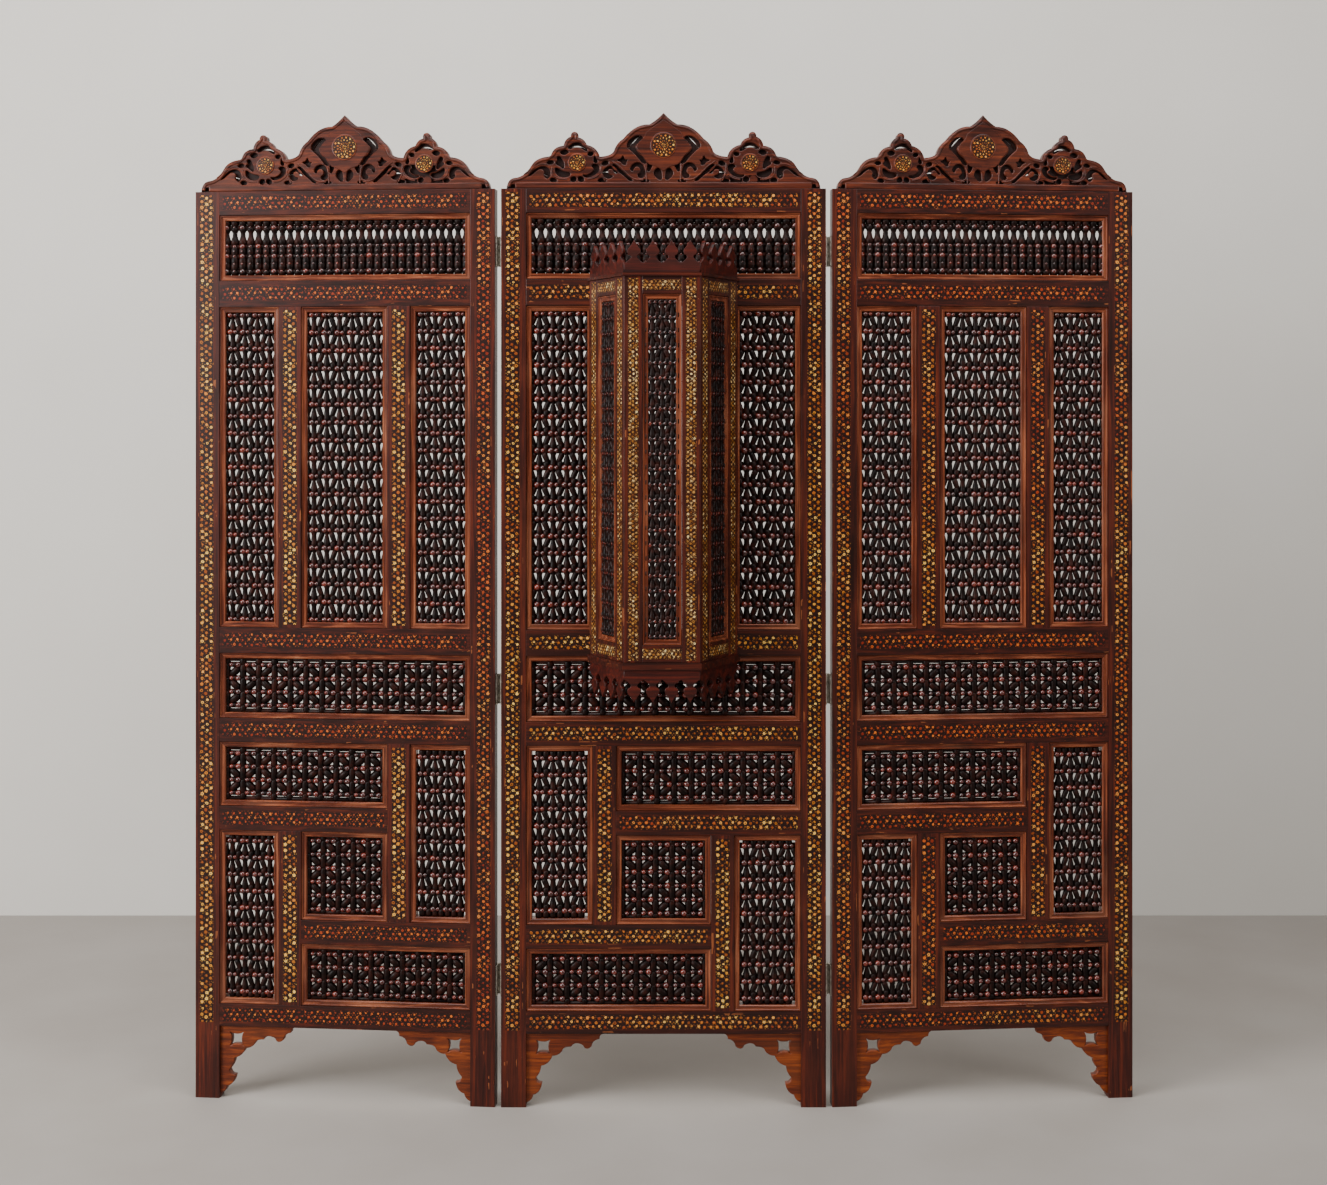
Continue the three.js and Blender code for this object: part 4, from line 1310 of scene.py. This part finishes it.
def bay_face(word, face):
    """One face of the bay: two stiles and two rails with a fine inlay, round a tall lattice."""
    place = face_matrix(face)
    world = PLACES["centre_wing"] @ place
    low, high = corners_in(f"bay_{word}_frame", world)
    panel_low, panel_high = corners_in(f"bay_{word}_lattice", world)
    light = panel_low.x - GLUE_GAP, panel_high.x + GLUE_GAP, panel_low.z - GLUE_GAP, panel_high.z + GLUE_GAP
    front = low.y
    back = front + BAY_WALL - GLUE_GAP
    half = (high.x - low.x) / 2
    mitre = BAY_WALL / math.tan(math.pi / 3)
    members = (
        (-half, light[0], low.z, high.z, True),
        (light[1], half, low.z, high.z, True),
        (light[0], light[1], light[3], high.z, False),
        (light[0], light[1], low.z, light[2], False),
    )
    boards = []
    for x_low, x_high, z_low, z_high, upright in members:
        if upright:
            middle = (x_low + x_high) / 2
            ends = (z_low + BAY_BAND_MARGIN, z_high - BAY_BAND_MARGIN)
        else:
            middle = (z_low + z_high) / 2
            ends = (x_low, x_high)
        reach = min(BAY_BAND_WIDTH, (z_high - z_low) - BAY_RAIL_EDGE) / 2
        band = (middle - reach, middle + reach, *ends)
        wood = WOOD["upright" if upright else "level"]
        corners = (x_low, front, z_low), (x_high, back, z_high)
        piece = board(*corners, upright, band, wood, INLAY["bay"])
        for vertex in piece.data.vertices:
            if abs(abs(vertex.co.x) - half) < BAY_CORNER and vertex.co.y > front + BAY_WALL / 2:
                vertex.co.x -= math.copysign(mitre, vertex.co.x)
        boards.append(piece)
    whole = join(f"bay_{word}_dressed_frame", boards)
    whole.data.transform(place)
    put(whole, f"bay_{word}_dressed_frame", "centre_wing", f"bay_{word}_frame", slot="bay_wood")
    width, depth, height = panel_high - panel_low
    if "bay" not in made_panels:
        made_panels["bay"] = dressed_panel("pattern_panel", width, height, depth, "bay")
    panel = twin(made_panels["bay"], place @ shift(0, panel_low.y, panel_low.z))
    put(panel, f"bay_{word}_turned_lattice", "centre_wing", f"bay_{word}_lattice", slot="lattice_wood")


MERLONS = 4
MERLON_FOOT = 0.28
MERLON_LOBES = (
    (0.6, 0.34, 0.3, 0.46),
    (0.3, 0.56, 0.46, 0.56),
    (0.78, 0.6, 0.62, 0.73),
    (0.28, 0.84, 0.0, 1.0),
)
FRET_WALL = 8 * MM
FRET_EASING = 0.9 * MM
FRET_GAP = 0.5 * MM
MITRE_REACH = 12 * MM


def merlon_outline(half, height):
    """A board with a row of arrowhead merlons, its foot on z = 0."""
    step = half / MERLONS
    points = [(-half, 0), (half, 0)]
    side = quadratic((step, MERLON_FOOT * height), scaled(MERLON_LOBES, step, height), 4)
    for i in reversed(range(MERLONS)):
        middle = (2 * i + 1) * step - half
        points += [(middle + x, z) for x, z in side]
        points += [(middle - x, z) for x, z in reversed(side[1:-1])]
    points.append((-half, MERLON_FOOT * height))
    return points


def merlon_ring(node, name, upside_down):
    """Three merlon boards mitred round the bay, above its roof or hanging below its floor."""
    low, high = corners_in(node, PLACES["centre_wing"])
    height = high.z - low.z
    front_low, front_high = corners_in("bay_front_frame", PLACES["centre_wing"])
    half = (front_high.x - front_low.x) / 2 - FRET_GAP
    mitre = FRET_WALL / math.tan(math.pi / 3)
    boards = []
    for face in (-1, 0, 1):
        outline = merlon_outline(half - FRET_EASING, height - 2 * FRET_EASING)
        row = sawn("row", outline, [], FRET_WALL, FRET_EASING, WOOD["fret"])
        row.data.transform(shift(0, 0, FRET_EASING))
        for vertex in row.data.vertices:
            if vertex.co.y > FRET_WALL / 2:
                share = max(0.0, abs(vertex.co.x) - half + MITRE_REACH) / MITRE_REACH
                vertex.co.x -= math.copysign(mitre * share, vertex.co.x)
        if upside_down:
            row.data.transform(Matrix.Scale(-1, 4, (0, 0, 1)))
            row.data.flip_normals()
        row.data.transform(face_matrix(face) @ shift(0, 0, high.z if upside_down else low.z))
        boards.append(row)
    put(join(name, boards), name, "centre_wing", node, slot="carved_wood")


# What the CAD model already shows rightly, and the middle hinges


def keep_cad():
    """Gives the CAD nodes that stay their finishes."""
    for name, node in frame["nodes"].items():
        if "hinge" in name:
            paint(node, STEEL)
        elif name in ("bay_roof", "bay_floor"):
            paint(node, WOOD["level"])


MIDDLE_HINGE_HEIGHT = 0.834


def middle_hinges():
    """A third hinge in the middle of each fold, like those above and below it."""
    for word in ("left", "right"):
        for leaf, body in (("fixed", "centre_wing"), ("moving", word + "_wing")):
            upper = frame["nodes"][f"{word}_upper_hinge_{leaf}_leaf"]
            low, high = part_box(upper.name)
            drop = MIDDLE_HINGE_HEIGHT - (low[2] + high[2]) / 2
            piece = twin(upper, shift(0, 0, drop))
            piece.name = f"{word}_middle_hinge_{leaf}_leaf"
            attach(piece, body)


# Room, light and camera

WALL_BEHIND = 1.41
WALL_HEIGHT = 4.5


def room():
    """A pale floor, and a wall that only a camera in front of it sees."""
    wall_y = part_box("centre_wing_frame")[0][1] + WALL_BEHIND
    sheet = block((-6, -5, -0.02), (6, 6, 0))
    paint(sheet, plain_paint("floor_matt", "#8B837B", 0.75))
    sheet.name = "floor"
    upright = (math.pi / 2, 0, 0)
    bpy.ops.mesh.primitive_plane_add(size=1, location=(0, wall_y, WALL_HEIGHT / 2), rotation=upright)
    wall = bpy.context.object
    wall.scale = (12, WALL_HEIGHT, 1)
    settle(wall)
    paint(wall, plain_paint("wall_matt", "#C9C4BC", 0.9, one_sided=True))
    wall.name = "wall"


def softbox(name, place, aim, size, power):
    """A large soft light."""
    lamp = bpy.data.lights.new(name, "AREA")
    lamp.shape = "RECTANGLE"
    lamp.size, lamp.size_y = size
    lamp.energy = power
    holder = bpy.data.objects.new(name, lamp)
    holder.location = place
    holder.rotation_euler = (Vector(aim) - Vector(place)).to_track_quat("-Z", "Y").to_euler()
    bpy.context.collection.objects.link(holder)


def light_and_camera():
    softbox("key_left", (-4.8, -3.0, 2.6), (-0.2, 0, 1.0), (2.8, 2.8), 470)
    softbox("key_right", (4.8, -3.2, 2.4), (0.2, 0, 1.0), (1.5, 1.5), 92)
    softbox("overhead", (0, -1.2, 4.2), (0, 0.4, 0), (4, 3), 190)
    world = bpy.data.worlds.new("soft_room")
    world.use_nodes = True
    world.node_tree.nodes["Background"].inputs["Color"].default_value = linear("#F2EFEA")
    world.node_tree.nodes["Background"].inputs["Strength"].default_value = 0.2
    bpy.context.scene.world = world
    lens = bpy.data.cameras.new("camera")
    lens.sensor_width = SENSOR
    lens.lens = PHOTO_FOCUS / PHOTO_WIDTH * SENSOR
    lens.shift_x = (PHOTO_WIDTH / 2 - PHOTO_VANISHING) / PHOTO_WIDTH
    lens.shift_y = (PHOTO_HORIZON - PHOTO_HEIGHT / 2) / PHOTO_WIDTH
    camera = bpy.data.objects.new("camera", lens)
    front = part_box("centre_wing_frame")[0][1]
    camera.location = (EYE_SIDE, front - EYE_DISTANCE, EYE_HEIGHT)
    camera.rotation_euler = (math.pi / 2, 0, 0)
    bpy.context.collection.objects.link(camera)
    bpy.context.scene.camera = camera


bpy.context.scene.tool_settings.mesh_select_mode = (False, False, True)
light_and_camera()
room()
for wing_name in PLACES:
    wing_frame(wing_name)
    wing_panels(wing_name)
    crest(wing_name)
    for bracket_side in (-1, 1):
        bracket(wing_name, bracket_side)
for face_word, face_turn in (("front", 0), ("left", -1), ("right", 1)):
    bay_face(face_word, face_turn)
merlon_ring("bay_cresting", "bay_fretted_cresting", False)
merlon_ring("bay_skirt", "bay_fretted_skirt", True)
for pattern_panel in made_panels.values():
    bpy.data.objects.remove(pattern_panel)
keep_cad()
middle_hinges()
